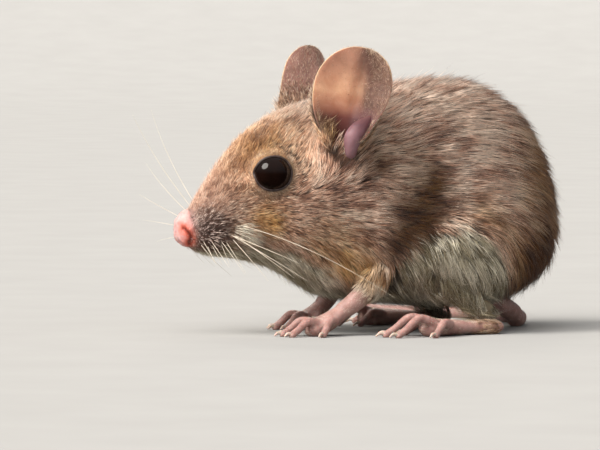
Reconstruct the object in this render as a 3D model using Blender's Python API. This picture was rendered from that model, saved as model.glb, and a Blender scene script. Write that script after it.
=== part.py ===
"""Field mouse (wood mouse, Apodemus sylvaticus), crouching on all four feet: a still, life-size model.

The mouse faces -Y with its left side at +X and stands on the floor, z = 0. Sizes below are in millimetres
and are taken over the coat, in the mouse's own frame. Everything is shaped at that scale; at the end it is
moved so that the origin is under the middle of the whole, and taken to metres.
"""

import math

import bmesh
import bpy
import numpy as np
from mathutils import Matrix, Vector

MM = 0.001
GAP = 0.3  # clearance between neighbouring pieces
CREASE = 40.0  # degrees, beyond which an edge is shaded sharp
SIDES = {"left": 1, "right": -1}

# ---- driving sizes -------------------------------------------------------------------------------------
BODY_SEGMENTS = 32
NOSE_TIP_Y, NOSE_TIP_Z = -29.0, 15.7
NOSE_FULL_Y = -27.0  # behind this the nose has its full section
RUMP_FULL_Y = 15.0  # behind this the body closes like an ellipsoid
RUMP_TIP_Y, RUMP_TIP_Z = 31.3, 14.6

# The long body from nose to loin. Each station is a section across it: where it is along Y, its top and
# bottom, its half width, the height of its widest point as a share, and how square its upper and lower
# halves are (2 = ellipse).
STATIONS = {
    "nose": (-27.0, 18.7, 13.0, 2.5, 0.46, 2.0, 2.0),
    "whisker_pads": (-24.4, 22.7, 11.8, 4.7, 0.38, 2.0, 2.2),
    "bridge": (-21.0, 27.1, 11.3, 6.0, 0.39, 2.0, 2.2),
    "eyes": (-17.0, 30.8, 10.4, 7.3, 0.48, 2.1, 2.2),
    "brow": (-12.5, 33.4, 8.6, 9.2, 0.46, 2.1, 2.2),
    "ears": (-8.0, 34.9, 5.6, 10.7, 0.42, 2.1, 2.3),
    "nape": (-2.0, 36.0, 4.3, 12.0, 0.38, 2.1, 2.6),
    "shoulders": (4.0, 37.2, 3.8, 13.2, 0.36, 2.1, 2.9),
    "back": (9.5, 38.1, 3.6, 14.2, 0.36, 2.1, 3.2),
    "loin": (15.0, 37.9, 3.5, 14.5, 0.36, 2.1, 3.2),
}
# Soft bulges laid over that form: centre of the left one, reach and height.
BULGES = {
    "nose_bulb": ((1.6, -27.6, 15.4), 1.6, 0.3),
    "whisker_pad": ((4.2, -24.6, 14.8), 2.6, 0.7),
    "lip": ((2.2, -25.8, 12.8), 2.0, 0.3),
    "cheek": ((9.0, -11.5, 16.0), 5.0, 0.8),
    "brow": ((5.6, -15.6, 28.6), 3.2, 0.35),
    "muzzle_hollow": ((6.2, -20.6, 19.4), 3.0, -0.5),
    "neck_hollow": ((11.0, -5.5, 14.5), 4.0, -0.6),
    "shoulder": ((12.0, 1.0, 13.0), 6.0, 0.8),
    "haunch": ((14.0, 16.0, 12.0), 8.0, 0.5),
}

EYE_CENTRE = (5.75, -15.9, 23.9)
EYE_RADIUS = 2.95

EAR_BASE = (7.4, -5.2, 28.0)
EAR_TOP = (10.4, -4.5, 42.7)
EAR_FACING = (0.82, -0.57, 0.0)  # the way the hollow of the ear looks
EAR_HALF_WIDTH = 6.2  # half the arc across the widest part
EAR_ROOT_HALF_WIDTH = 5.4
EAR_WIDEST = 0.56  # share of the height
EAR_FULL_CURL_SHARE = 0.75  # above this the curl stays the same
EAR_ROOT_CURL, EAR_TOP_CURL = 300.0, 70.0  # degrees that the arc spans at root and top
EAR_ROUNDNESS = 2.3
EAR_SWEEP = 0.9
EAR_THICKNESS = 0.6
EAR_ROWS, EAR_COLUMNS = 11, 10

# Each limb is laid out for the left side, in its own place: radii along a course, or one solid thigh.
THIGH_CENTRE, THIGH_RADII, THIGH_TILT = (9.6, 13.4, 12.9), (6.4, 8.8, 8.5), -24.0
SHANK = ((12.2, 7.6, 7.8), (12.6, 12.5, 5.6), (12.4, 16.2, 3.6))
SHANK_RADII = (3.0, 2.5, 1.9)
HIND_PALM = ((12.2, 17.0, 1.3), (12.8, 12.8, 1.35), (13.7, 8.6, 1.45), (14.5, 5.8, 1.4))
HIND_PALM_RADII = (1.7, 1.55, 1.9, 2.2)
HIND_DIGITS = {  # root, tip, arch
    "first": ((12.6, 7.0, 1.8), (10.9, 2.8, 0.34), 0.8),
    "second": ((13.4, 5.6, 2.0), (12.2, -0.4, 0.34), 1.5),
    "third": ((14.6, 5.4, 2.0), (14.5, -1.5, 0.34), 1.6),
    "fourth": ((15.8, 5.8, 2.0), (16.9, -0.4, 0.34), 1.5),
    "fifth": ((16.0, 8.2, 1.8), (18.6, 4.8, 0.34), 0.9),
}
HIND_DIGIT_RADII = (0.86, 0.72, 0.62, 0.64)
FOREARM = ((9.4, 0.6, 11.0), (9.6, -1.4, 7.8), (9.0, -4.2, 5.0), (8.5, -6.0, 3.6))
FOREARM_RADII = (3.2, 2.6, 1.9, 1.45)
FORE_PALM = ((8.5, -6.0, 3.5), (8.4, -8.0, 2.2), (8.2, -10.2, 1.1))
FORE_PALM_RADII = (1.4, 1.7, 1.75)
FORE_DIGITS = {
    "first": ((7.0, -7.6, 2.2), (6.0, -8.9, 1.0), 0.1),
    "second": ((7.2, -9.8, 1.9), (5.9, -14.0, 0.3), 1.0),
    "third": ((8.1, -10.2, 1.9), (7.8, -15.1, 0.3), 1.1),
    "fourth": ((9.1, -9.8, 1.9), (9.9, -14.4, 0.3), 1.0),
    "fifth": ((9.6, -7.6, 2.3), (11.8, -10.2, 0.3), 0.7),
}
FORE_DIGIT_RADII = (0.76, 0.64, 0.58, 0.6)
CLAW_RADII = (0.34, 0.3, 0.26)
FORE_CLAW, HIND_CLAW = 0.9, 1.1
STEP = {"forefoot_left": 0.0, "forefoot_right": 4.6, "hindfoot_left": 0.0, "hindfoot_right": 1.4}  # along Y

SWING_HEIGHT = 12.0  # the step is full at the floor and fades out up to here

# The tail leaves under the rump, swings to the right and lies on the floor in a loose S.
TAIL_COURSE = (
    (0.0, 18.5, 6.4),
    (-0.5, 22.4, 3.9),
    (-3.6, 26.4, 1.9),
    (-10.5, 29.4, 1.3),
    (-20.5, 28.6, 1.2),
    (-30.0, 24.2, 1.0),
    (-39.5, 20.4, 0.85),
    (-49.5, 19.8, 0.7),
    (-58.5, 22.6, 0.5),
    (-66.0, 27.4, 0.34),
)
TAIL_ROOT_RADIUS, TAIL_TIP_RADIUS = 1.8, 0.4
TAIL_LYING = 0.24  # share of its length, behind which it lies on the floor
TAIL_STEPS = 33
TAIL_LENGTHS = 4
FLOOR_BITE = 0.22  # how far soles and tail are sunk before the floor trims them flat

# The cuts that part one node from the next, each a point and a normal in the YZ plane.
NOSE_CUT = ((0, -27.6, 15.7), (0, -1.0, 0.1))
HEAD_CUT = ((0, -5.6, 20.5), (0, -1.0, 0.42))
NECK_CUT = ((0, 0.4, 19.5), (0, -1.0, 0.34))
WRIST_CUT = ((0, -5.6, 3.9), (0, 0.72, 0.69))
ANKLE_CUT = ((0, 15.0, 3.6), (0, 0.12, 1.0))

MATERIALS = {
    "coat": ((0.27, 0.15, 0.085), 0.85),
    "bare_skin": ((0.62, 0.36, 0.31), 0.55),
    "ear_skin": ((0.45, 0.27, 0.22), 0.6),
    "eye": ((0.008, 0.006, 0.006), 0.05),
}


# ---- making meshes --------------------------------------------------------------------------------------
def clear_scene():
    for obj in list(bpy.data.objects):
        bpy.data.objects.remove(obj)


def material(name):
    found = bpy.data.materials.get(name)
    if found:
        return found
    colour, roughness = MATERIALS[name]
    made = bpy.data.materials.new(name)
    made.use_nodes = True
    shader = made.node_tree.nodes["Principled BSDF"]
    shader.inputs["Base Color"].default_value = (*colour, 1.0)
    shader.inputs["Roughness"].default_value = roughness
    shader.inputs["Metallic"].default_value = 0.0
    return made


def new_object(name, mesh, finish):
    obj = bpy.data.objects.new(name, mesh)
    bpy.context.scene.collection.objects.link(obj)
    mesh.materials.clear()
    mesh.materials.append(material(finish))
    mesh.shade_smooth()
    return obj


def object_from(name, points, faces, finish):
    """A mesh object from points in millimetres, with its faces turned outwards."""
    mesh = bpy.data.meshes.new(name)
    mesh.from_pydata([Vector(p) for p in points], [], faces)
    made = bmesh.new()
    made.from_mesh(mesh)
    bmesh.ops.recalc_face_normals(made, faces=made.faces)
    made.to_mesh(mesh)
    made.free()
    return new_object(name, mesh, finish)


def rings_object(name, rings, finish, first=None, last=None):
    """Skins a list of equal rings of points. An end is closed by a point, or by a flat face without one."""
    count = len(rings[0])
    points = [p for ring in rings for p in ring]
    faces = []
    for i in range(len(rings) - 1):
        for j in range(count):
            k = (j + 1) % count
            faces.append((i * count + j, i * count + k, (i + 1) * count + k, (i + 1) * count + j))
    for end, start in ((first, 0), (last, (len(rings) - 1) * count)):
        if end is None:
            faces.append([start + j for j in range(count)])
        else:
            points.append(end)
            faces += [(start + j, start + (j + 1) % count, len(points) - 1) for j in range(count)]
    return object_from(name, points, faces, finish)


def smooth_course(course, count):
    """count points evenly spaced by parameter along a Catmull-Rom curve through the course's points."""
    points = np.array(course, float)
    padded = np.vstack([2 * points[0] - points[1], points, 2 * points[-1] - points[-2]])
    found = []
    for t in np.linspace(0, len(points) - 1, count):
        i = min(int(t), len(points) - 2)
        f = t - i
        a, b, c, d = padded[i : i + 4]
        found.append(
            0.5 * (2 * b + (c - a) * f + (2 * a - 5 * b + 4 * c - d) * f * f + (3 * b - a - 3 * c + d) * f**3)
        )
    return np.array(found)


def tube(name, course, radii, finish, sides=8, flat=1.0, steps=None):
    """A round-ended tube along a smooth course. flat squeezes its height."""
    steps = steps or 2 * len(course)
    line = smooth_course(course, steps)
    size = np.interp(np.linspace(0, 1, steps), np.linspace(0, 1, len(radii)), radii)
    along = np.gradient(line, axis=0)
    along /= np.linalg.norm(along, axis=1)[:, None]
    first, last = line[0] - along[0] * size[0] * 0.9, line[-1] + along[-1] * size[-1] * 0.9
    line = np.vstack([line[0] - along[0] * size[0] * 0.55, line, line[-1] + along[-1] * size[-1] * 0.55])
    along = np.vstack([along[0], along, along[-1]])
    size = np.concatenate([[size[0] * 0.72], size, [size[-1] * 0.72]])
    rings = []
    for point, forward, radius in zip(line, along, size):
        across = np.cross(forward, (0, 0, 1.0))
        across /= np.linalg.norm(across)
        up = np.cross(across, forward)
        turns = (2 * math.pi * k / sides for k in range(sides))
        rings.append([point + radius * (math.cos(t) * across + flat * math.sin(t) * up) for t in turns])
    return rings_object(name, rings, finish, first, last)


def ball(name, centre, radii, finish, subdivisions=2, turn=None):
    """An ellipsoid with these half axes, turned by a matrix."""
    made = bmesh.new()
    bmesh.ops.create_icosphere(made, subdivisions=subdivisions, radius=1.0)
    mesh = bpy.data.meshes.new(name)
    made.to_mesh(mesh)
    made.free()
    mesh.transform(Matrix.Diagonal((*radii, 1.0)))
    if turn is not None:
        mesh.transform(turn)
    mesh.transform(Matrix.Translation(centre))
    return new_object(name, mesh, finish)


# ---- joining and parting --------------------------------------------------------------------------------
def bake_modifiers(obj):
    graph = bpy.context.evaluated_depsgraph_get()
    mesh = bpy.data.meshes.new_from_object(obj.evaluated_get(graph), depsgraph=graph)
    obj.modifiers.clear()
    obj.data = mesh
    return obj


def boolean(obj, operation, other, keep_other=False):
    modifier = obj.modifiers.new(operation, "BOOLEAN")
    modifier.operation = operation
    modifier.object = other
    bake_modifiers(obj)
    if not keep_other:
        bpy.data.objects.remove(other)
    return obj


def grown(obj, by=GAP):
    """A copy of a piece, thicker by the clearance all round, to cut its neighbours with."""
    copy = obj.copy()
    copy.data = obj.data.copy()
    bpy.context.scene.collection.objects.link(copy)
    moves = [v.co + v.normal * by for v in copy.data.vertices]
    for vertex, place in zip(copy.data.vertices, moves):
        vertex.co = place
    return copy


def trim(obj, point, normal):
    """Cuts away what lies on the normal's side of a plane, and closes the cut with a flat face."""
    made = bmesh.new()
    made.from_mesh(obj.data)
    everything = made.verts[:] + made.edges[:] + made.faces[:]
    bmesh.ops.bisect_plane(
        made, geom=everything, plane_co=Vector(point), plane_no=Vector(normal), clear_outer=True, dist=1e-5
    )
    rim = [e for e in made.edges if e.is_boundary]
    bmesh.ops.contextual_create(made, geom=rim)
    bmesh.ops.triangulate(made, faces=[f for f in made.faces if len(f.verts) > 4])
    bmesh.ops.recalc_face_normals(made, faces=made.faces)
    made.to_mesh(obj.data)
    made.free()
    return obj


def copy_of(obj, name):
    copy = obj.copy()
    copy.data = obj.data.copy()
    copy.name = name
    bpy.context.scene.collection.objects.link(copy)
    return copy


def between(whole, name, front, back):
    """The stretch of a form between two sloping cuts, set back from each by half the clearance."""
    piece = copy_of(whole, name)
    for cut, side in ((front, 1), (back, -1)):
        if cut:
            point, normal = Vector(cut[0]), Vector(cut[1]).normalized() * side
            trim(piece, point - normal * GAP / 2, normal)
    return piece


def fuse(name, pieces, voxel, triangles):
    """Melts overlapping pieces into one smooth closed body of about that many triangles."""
    body = pieces[0]
    made = bmesh.new()
    for piece in pieces:
        made.from_mesh(piece.data)
    made.to_mesh(body.data)
    made.free()
    for piece in pieces[1:]:
        bpy.data.objects.remove(piece)
    remesh = body.modifiers.new("melt", "REMESH")
    remesh.mode = "VOXEL"
    remesh.voxel_size = voxel
    relax = body.modifiers.new("relax", "SMOOTH")
    relax.factor, relax.iterations = 0.5, 3
    bake_modifiers(body)
    fine = sum(len(p.vertices) - 2 for p in body.data.polygons)
    thin = body.modifiers.new("thin", "DECIMATE")
    thin.ratio = triangles / fine
    thin.use_collapse_triangulate = True
    bake_modifiers(body)
    body.name = name
    body.data.shade_smooth()
    return body


# ---- the long body --------------------------------------------------------------------------------------
def section_at(y):
    """Top, bottom, half width, widest share and the two squarenesses of the section at y."""
    table = np.array(list(STATIONS.values()))
    places = table[:, 0]
    slopes = np.gradient(table[:, 1:], places, axis=0)
    i = int(np.clip(np.searchsorted(places, y) - 1, 0, len(places) - 2))
    span = places[i + 1] - places[i]
    t = float(np.clip((y - places[i]) / span, 0, 1))
    weights = (
        2 * t**3 - 3 * t**2 + 1,
        (t**3 - 2 * t**2 + t) * span,
        3 * t**2 - 2 * t**3,
        (t**3 - t**2) * span,
    )
    parts = (table[i, 1:], slopes[i], table[i + 1, 1:], slopes[i + 1])
    return sum(w * p for w, p in zip(weights, parts))


def section_ring(y):
    """One ring of the body at y, as points."""
    top, bottom, width, share, upper_square, lower_square = section_at(y)
    widest = bottom + share * (top - bottom)
    ring = []
    for k in range(BODY_SEGMENTS):
        a = 2 * math.pi * k / BODY_SEGMENTS
        c, s = math.cos(a), math.sin(a)
        square = upper_square if s > 0 else lower_square
        reach = top - widest if s > 0 else widest - bottom
        x = width * math.copysign(abs(c) ** (2 / square), c)
        ring.append((x, y, widest + reach * math.copysign(abs(s) ** (2 / square), s)))
    return ring


def closing_rings(full_y, tip_y, tip_z, degrees):
    """Rings that close an end of the body like an ellipsoid, whose tip may lie off its middle."""
    ring = section_ring(full_y)
    top, bottom = section_at(full_y)[:2]
    middle = (top + bottom) / 2
    rings = []
    for angle in degrees:
        a = math.radians(angle)
        shift = (tip_z - middle) * (1 - math.cos(a))
        y = full_y + (tip_y - full_y) * math.sin(a)
        rings.append([(x * math.cos(a), y, middle + shift + (z - middle) * math.cos(a)) for x, _, z in ring])
    return rings


def long_body():
    """Head, neck and trunk as one closed form, to be parted later."""
    nose = closing_rings(NOSE_FULL_Y, NOSE_TIP_Y, NOSE_TIP_Z, (76, 58, 40, 20))
    head = [section_ring(y) for y in np.linspace(NOSE_FULL_Y, -8.0, 15)]
    trunk = [section_ring(y) for y in np.linspace(-8.0, RUMP_FULL_Y, 13)[1:]]
    rump = closing_rings(RUMP_FULL_Y, RUMP_TIP_Y, RUMP_TIP_Z, (12, 24, 36, 48, 60, 71, 81))
    tips = (0, NOSE_TIP_Y, NOSE_TIP_Z), (0, RUMP_TIP_Y, RUMP_TIP_Z)
    body = rings_object("body", nose + head + trunk + rump, "coat", *tips)
    add_bulges(body)
    return body


def add_bulges(body):
    """Raises or sinks the form softly round each named place, alike on both sides."""
    for place, reach, height in BULGES.values():
        moves = []
        for vertex in body.data.vertices:
            near = Vector((abs(vertex.co.x), vertex.co.y, vertex.co.z)) - Vector(place)
            moves.append(vertex.normal * height * math.exp(-((near.length / reach) ** 2)))
        for vertex, move in zip(body.data.vertices, moves):
            vertex.co += move


# ---- eyes and ears --------------------------------------------------------------------------------------
def eye(side):
    x, y, z = EYE_CENTRE
    return ball(f"eye_{side}", (SIDES[side] * x, y, z), (EYE_RADIUS,) * 3, "eye")


def ear(side):
    """A thin cupped shell: an arc across, rolled to a funnel at the root and opening to the round top."""
    mirror = Vector((SIDES[side], 1, 1))
    base, top = Vector(EAR_BASE) * mirror, Vector(EAR_TOP) * mirror
    up = (top - base).normalized()
    facing = Vector(EAR_FACING) * mirror
    facing = (facing - facing.dot(up) * up).normalized()
    across = up.cross(facing) * SIDES[side]
    height = (top - base).length

    def half_width(share):
        rise = share / EAR_WIDEST
        if rise > 1:
            rise = (share - EAR_WIDEST) / (1 - EAR_WIDEST)
            return EAR_HALF_WIDTH * math.sqrt(max(0.0, 1 - rise**EAR_ROUNDNESS))
        widening = (EAR_HALF_WIDTH - EAR_ROOT_HALF_WIDTH) * math.sin(rise * math.pi / 2)
        return EAR_ROOT_HALF_WIDTH + widening

    def place(share, turn, offset):
        """A point of the shell: its share of the height, its turn from -1 to 1 across, its depth."""
        flattening = 1 - (1 - min(1.0, share / EAR_FULL_CURL_SHARE)) ** 2
        curl = math.radians(EAR_ROOT_CURL + (EAR_TOP_CURL - EAR_ROOT_CURL) * flattening)
        half = half_width(share)
        radius = (EAR_HALF_WIDTH if share > EAR_WIDEST else half) * 2 / curl
        angle = turn * half / radius
        reach = radius + offset
        forward = radius - reach * math.cos(angle) - EAR_SWEEP * math.sin(share * math.pi)
        return base + up * height * share + across * reach * math.sin(angle) + facing * forward

    shares = [1 - (1 - i / EAR_ROWS) ** 1.35 for i in range(EAR_ROWS)] + [0.995]
    turns = [math.sin((j / EAR_COLUMNS - 0.5) * math.pi) for j in range(EAR_COLUMNS + 1)]
    rings = []
    for share in shares:
        outer = [place(share, t, EAR_THICKNESS / 2) for t in turns]
        inner = [place(share, t, -EAR_THICKNESS / 2) for t in reversed(turns)]
        rings.append(outer + inner)
    return rings_object(f"ear_{side}", rings, "ear_skin")


# ---- limbs and tail -------------------------------------------------------------------------------------
def placed(points, side, foot):
    """Points laid out for the left side, taken to a side and swung back by its foot's step."""
    step = STEP[f"{foot}_{side}"]
    return [(SIDES[side] * x, y + step * max(0.0, 1 - z / SWING_HEIGHT), z) for x, y, z in points]


def digit(root, tip, rise, radii, claw):
    """A toe that arches up from its root and comes down on its pad, with a claw beyond."""
    root, tip = Vector(root), Vector(tip)
    knuckle = root.lerp(tip, 0.42) + Vector((0, 0, rise))
    last_joint = root.lerp(tip, 0.78) + Vector((0, 0, rise * 0.35))
    toe = tube("toe", (root, knuckle, last_joint, tip), radii, "bare_skin", steps=7)
    forward = (tip - root).normalized()
    start = tip + Vector((0, 0, 0.2))
    end = start + Vector((forward.x, forward.y, 0)).normalized() * (claw + radii[-1] / 2) - Vector((0, 0, 0.3))
    middle = start.lerp(end, 0.5) + Vector((0, 0, 0.14))
    return [toe, tube("claw", (start, middle, end), CLAW_RADII, "bare_skin", sides=6, steps=4)]


def foot_pieces(foot, side, palm, palm_radii, digits, digit_radii, claw):
    pieces = [tube("palm", placed(palm, side, foot), palm_radii, "bare_skin", sides=12, flat=0.82, steps=9)]
    for root, tip, rise in digits.values():
        pieces += digit(*placed((root, tip), side, foot), rise, digit_radii, claw)
    return pieces


def part_limb(limb, leg_name, foot_name, cut, step):
    """Divides a limb at the wrist or ankle, and trims the sole flat on the floor."""
    point, normal = Vector(cut[0]) + Vector((0, step, 0)), Vector(cut[1]).normalized()
    leg, foot = limb, copy_of(limb, foot_name)
    leg.name = leg_name
    trim(leg, point + normal * GAP / 2, -normal)
    trim(foot, point - normal * GAP / 2, normal)
    leg.data.materials[0] = material("coat")
    return leg, trim(foot, (0, 0, 0), (0, 0, -1))


def forearm_pieces(side, extra=0.0):
    radii = [r + extra for r in FOREARM_RADII]
    return [tube("forearm", placed(FOREARM, side, "forefoot"), radii, "bare_skin", sides=12, steps=9)]


def forelimb(side):
    paw = foot_pieces("forefoot", side, FORE_PALM, FORE_PALM_RADII, FORE_DIGITS, FORE_DIGIT_RADII, FORE_CLAW)
    limb = fuse("limb", forearm_pieces(side) + paw, 0.2, 660)
    return part_limb(limb, f"foreleg_{side}", f"forefoot_{side}", WRIST_CUT, STEP[f"forefoot_{side}"])


def thigh_pieces(side, extra=0.0):
    """Thigh and shank, folded under the flank."""
    centre = placed([THIGH_CENTRE], side, "hindfoot")[0]
    turn = Matrix.Rotation(math.radians(THIGH_TILT), 4, "X")
    thigh = ball("thigh", centre, [r + extra for r in THIGH_RADII], "bare_skin", subdivisions=3, turn=turn)
    radii = [r + extra for r in SHANK_RADII]
    return [thigh, tube("shank", placed(SHANK, side, "hindfoot"), radii, "bare_skin", sides=12, steps=9)]


def hindlimb(side):
    paw = foot_pieces("hindfoot", side, HIND_PALM, HIND_PALM_RADII, HIND_DIGITS, HIND_DIGIT_RADII, HIND_CLAW)
    limb = fuse("limb", thigh_pieces(side) + paw, 0.25, 860)
    return part_limb(limb, f"hindleg_{side}", f"hindfoot_{side}", ANKLE_CUT, STEP[f"hindfoot_{side}"])


def tail_line():
    """The middle line of the tail and its radii, lying on the floor behind the root."""
    line = smooth_course(TAIL_COURSE, TAIL_STEPS)
    share = np.linspace(0, 1, TAIL_STEPS)
    radii = TAIL_ROOT_RADIUS + (TAIL_TIP_RADIUS - TAIL_ROOT_RADIUS) * share**0.85
    lying = share > TAIL_LYING
    line[lying, 2] = radii[lying] - FLOOR_BITE
    return line, radii


def tail():
    """The tail in lengths, each a closed piece with a thin cut to the next."""
    line, radii = tail_line()
    whole = tube("tail", line, radii, "bare_skin", sides=8, steps=TAIL_STEPS)
    trim(whole, (0, 0, 0), (0, 0, -1))
    pieces = []
    bounds = np.linspace(0, TAIL_STEPS - 1, TAIL_LENGTHS + 1).astype(int)
    for n in range(TAIL_LENGTHS):
        piece = copy_of(whole, f"tail_{n + 1}")
        for at, side in ((bounds[n], -1), (bounds[n + 1], 1)):
            if 0 < at < TAIL_STEPS - 1:
                normal = Vector(line[at + 1] - line[at - 1]).normalized() * side
                trim(piece, Vector(line[at]) - normal * GAP / 2, normal)
        pieces.append(piece)
    bpy.data.objects.remove(whole)
    return pieces


def tail_clearance():
    """The room that the root of the tail takes in the trunk."""
    line, radii = tail_line()
    return tube("clearance", line, radii + GAP, "bare_skin", sides=8, steps=TAIL_STEPS)


def keep_nearest(piece, place):
    """Keeps only the closed shell of a piece that lies nearest to a place."""
    made = bmesh.new()
    made.from_mesh(piece.data)
    left, shells = set(made.verts), []
    while left:
        todo, shell = [left.pop()], []
        while todo:
            vertex = todo.pop()
            shell.append(vertex)
            near = {edge.other_vert(vertex) for edge in vertex.link_edges} & left
            left -= near
            todo += near
        shells.append(shell)
    place = Vector(place)
    shells.sort(key=lambda shell: min((v.co - place).length for v in shell))
    bmesh.ops.delete(made, geom=[v for shell in shells[1:] for v in shell], context="VERTS")
    made.to_mesh(piece.data)
    made.free()


def finish(pieces):
    """Moves everything so that the origin lies on the floor under the middle, and takes it to metres."""
    corners = np.array([v.co for piece in pieces for v in piece.data.vertices])
    middle = (corners.min(axis=0) + corners.max(axis=0)) / 2
    to_metres = Matrix.Diagonal((MM, MM, MM, 1.0)) @ Matrix.Translation((-middle[0], -middle[1], 0))
    for piece in pieces:
        piece.data.transform(to_metres)
        piece.data.set_sharp_from_angle(angle=math.radians(CREASE))


def main():
    clear_scene()
    body = long_body()
    eyes = [eye(side) for side in SIDES]
    ears = [ear(side) for side in SIDES]
    forelimbs = [forelimb(side) for side in SIDES]
    hindlimbs = [hindlimb(side) for side in SIDES]
    tails = tail()

    shell = grown(body)
    for one, side in zip(ears, SIDES):
        boolean(one, "DIFFERENCE", shell, keep_other=True)
        keep_nearest(one, Vector(EAR_TOP) * Vector((SIDES[side], 1, 1)))
    bpy.data.objects.remove(shell)

    nose = between(body, "nose", None, NOSE_CUT)
    head = between(body, "head", NOSE_CUT, HEAD_CUT)
    neck = between(body, "neck", HEAD_CUT, NECK_CUT)
    trunk = between(body, "trunk", NECK_CUT, None)
    bpy.data.objects.remove(body)
    nose.data.materials[0] = material("bare_skin")
    for one in eyes:
        boolean(head, "DIFFERENCE", grown(one))
    for side in SIDES:
        room = fuse("room", forearm_pieces(side, GAP), 0.3, 180)
        boolean(neck, "DIFFERENCE", room, keep_other=True)
        boolean(trunk, "DIFFERENCE", room)
        boolean(trunk, "DIFFERENCE", fuse("room", thigh_pieces(side, GAP), 0.4, 300))
    boolean(trunk, "DIFFERENCE", tail_clearance())
    limbs = [piece for limb in forelimbs + hindlimbs for piece in limb]
    finish([nose, head, neck, trunk, *eyes, *ears, *limbs, *tails])


main()
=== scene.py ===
import math

import bpy
import numpy as np
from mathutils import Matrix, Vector
from mathutils.bvhtree import BVHTree
from mathutils.kdtree import KDTree


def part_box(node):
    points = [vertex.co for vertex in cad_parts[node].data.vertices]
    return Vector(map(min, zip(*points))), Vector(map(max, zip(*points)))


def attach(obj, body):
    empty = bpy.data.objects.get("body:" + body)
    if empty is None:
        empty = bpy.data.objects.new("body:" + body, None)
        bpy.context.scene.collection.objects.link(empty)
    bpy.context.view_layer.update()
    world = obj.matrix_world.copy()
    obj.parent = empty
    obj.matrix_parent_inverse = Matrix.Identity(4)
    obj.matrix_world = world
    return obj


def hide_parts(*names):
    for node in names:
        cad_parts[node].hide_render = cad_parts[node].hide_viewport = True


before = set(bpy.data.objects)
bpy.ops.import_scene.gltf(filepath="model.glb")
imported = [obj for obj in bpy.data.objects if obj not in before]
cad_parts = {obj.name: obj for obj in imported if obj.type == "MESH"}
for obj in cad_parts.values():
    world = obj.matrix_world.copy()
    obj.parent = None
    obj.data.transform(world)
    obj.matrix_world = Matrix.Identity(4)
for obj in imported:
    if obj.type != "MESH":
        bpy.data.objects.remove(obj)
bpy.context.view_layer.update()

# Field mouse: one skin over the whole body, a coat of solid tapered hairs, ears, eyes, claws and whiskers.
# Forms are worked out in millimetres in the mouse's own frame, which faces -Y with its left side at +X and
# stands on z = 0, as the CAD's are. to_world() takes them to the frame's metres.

MM = 0.001
SIDES = {"left": 1, "right": -1}
SEED = 7

# ---- forms that the CAD also has ------------------------------------------------------------------------
NOSE_TIP_Y, NOSE_TIP_Z = -29.0, 15.7
NOSE_FULL_Y = -27.0
RUMP_FULL_Y = 15.0
RUMP_TIP_Y, RUMP_TIP_Z = 31.3, 14.6
# y, top, bottom, half width, height of the widest point as a share, upper and lower squareness
STATIONS = np.array((
    (-27.0, 18.7, 13.0, 2.5, 0.46, 2.0, 2.0),
    (-24.4, 22.7, 11.8, 4.7, 0.38, 2.0, 2.2),
    (-21.0, 27.1, 11.3, 6.0, 0.39, 2.0, 2.2),
    (-17.0, 30.8, 10.4, 7.3, 0.48, 2.1, 2.2),
    (-12.5, 33.4, 8.6, 9.2, 0.46, 2.1, 2.2),
    (-8.0, 34.9, 5.6, 10.7, 0.42, 2.1, 2.3),
    (-2.0, 36.0, 4.3, 12.0, 0.38, 2.1, 2.6),
    (4.0, 37.2, 3.8, 13.2, 0.36, 2.1, 2.9),
    (9.5, 38.1, 3.6, 14.2, 0.36, 2.1, 3.2),
    (15.0, 37.9, 3.5, 14.5, 0.36, 2.1, 3.2),
))
# centre of the left one, reach, height
BULGES = (
    ((1.6, -27.6, 15.4), 1.6, 0.3),
    ((4.2, -24.6, 14.8), 2.6, 0.7),
    ((2.2, -25.8, 12.8), 2.0, 0.3),
    ((9.0, -11.5, 16.0), 5.0, 0.8),
    ((5.6, -15.6, 28.6), 3.2, 0.35),
    ((6.2, -20.6, 19.4), 3.0, -0.5),
    ((11.0, -5.5, 14.5), 4.0, -0.6),
    ((12.0, 1.0, 13.0), 6.0, 0.8),
    ((14.0, 16.0, 12.0), 8.0, 0.5),
)
EYE_CENTRE = np.array((5.75, -15.9, 23.9))
EYE_RADIUS = 2.95
EAR_BASE, EAR_TOP = np.array((7.4, -5.2, 28.0)), np.array((10.4, -4.5, 42.7))
EAR_FACING = np.array((0.82, -0.57, 0.0))
EAR_HALF_WIDTH, EAR_ROOT_HALF_WIDTH = 6.2, 5.4
EAR_WIDEST = 0.56
EAR_FULL_CURL_SHARE = 0.75
EAR_ROOT_CURL, EAR_TOP_CURL = 300.0, 70.0
EAR_ROUNDNESS = 2.3
EAR_SWEEP = 0.9
THIGH_CENTRE, THIGH_RADII, THIGH_TILT = (9.6, 13.4, 12.9), (6.4, 8.8, 8.5), -24.0
SHANK = ((12.2, 7.6, 7.8), (12.6, 12.5, 5.6), (12.4, 16.2, 3.6))
HIND_PALM = ((12.2, 17.0, 1.3), (12.8, 12.8, 1.35), (13.7, 8.6, 1.45), (14.5, 5.8, 1.4))
HIND_DIGITS = (
    ((12.6, 7.0, 1.8), (10.9, 2.8, 0.34), 0.8),
    ((13.4, 5.6, 2.0), (12.2, -0.4, 0.34), 1.5),
    ((14.6, 5.4, 2.0), (14.5, -1.5, 0.34), 1.6),
    ((15.8, 5.8, 2.0), (16.9, -0.4, 0.34), 1.5),
    ((16.0, 8.2, 1.8), (18.6, 4.8, 0.34), 0.9),
)
HIND_DIGIT_RADII = (0.86, 0.72, 0.62, 0.64)
FOREARM = ((9.4, 0.6, 11.0), (9.6, -1.4, 7.8), (9.0, -4.2, 5.0), (8.5, -6.0, 3.6))
FORE_PALM = ((8.5, -6.0, 3.5), (8.4, -8.0, 2.2), (8.2, -10.2, 1.1))
FORE_PALM_RADII = (1.4, 1.7, 1.75)
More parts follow.
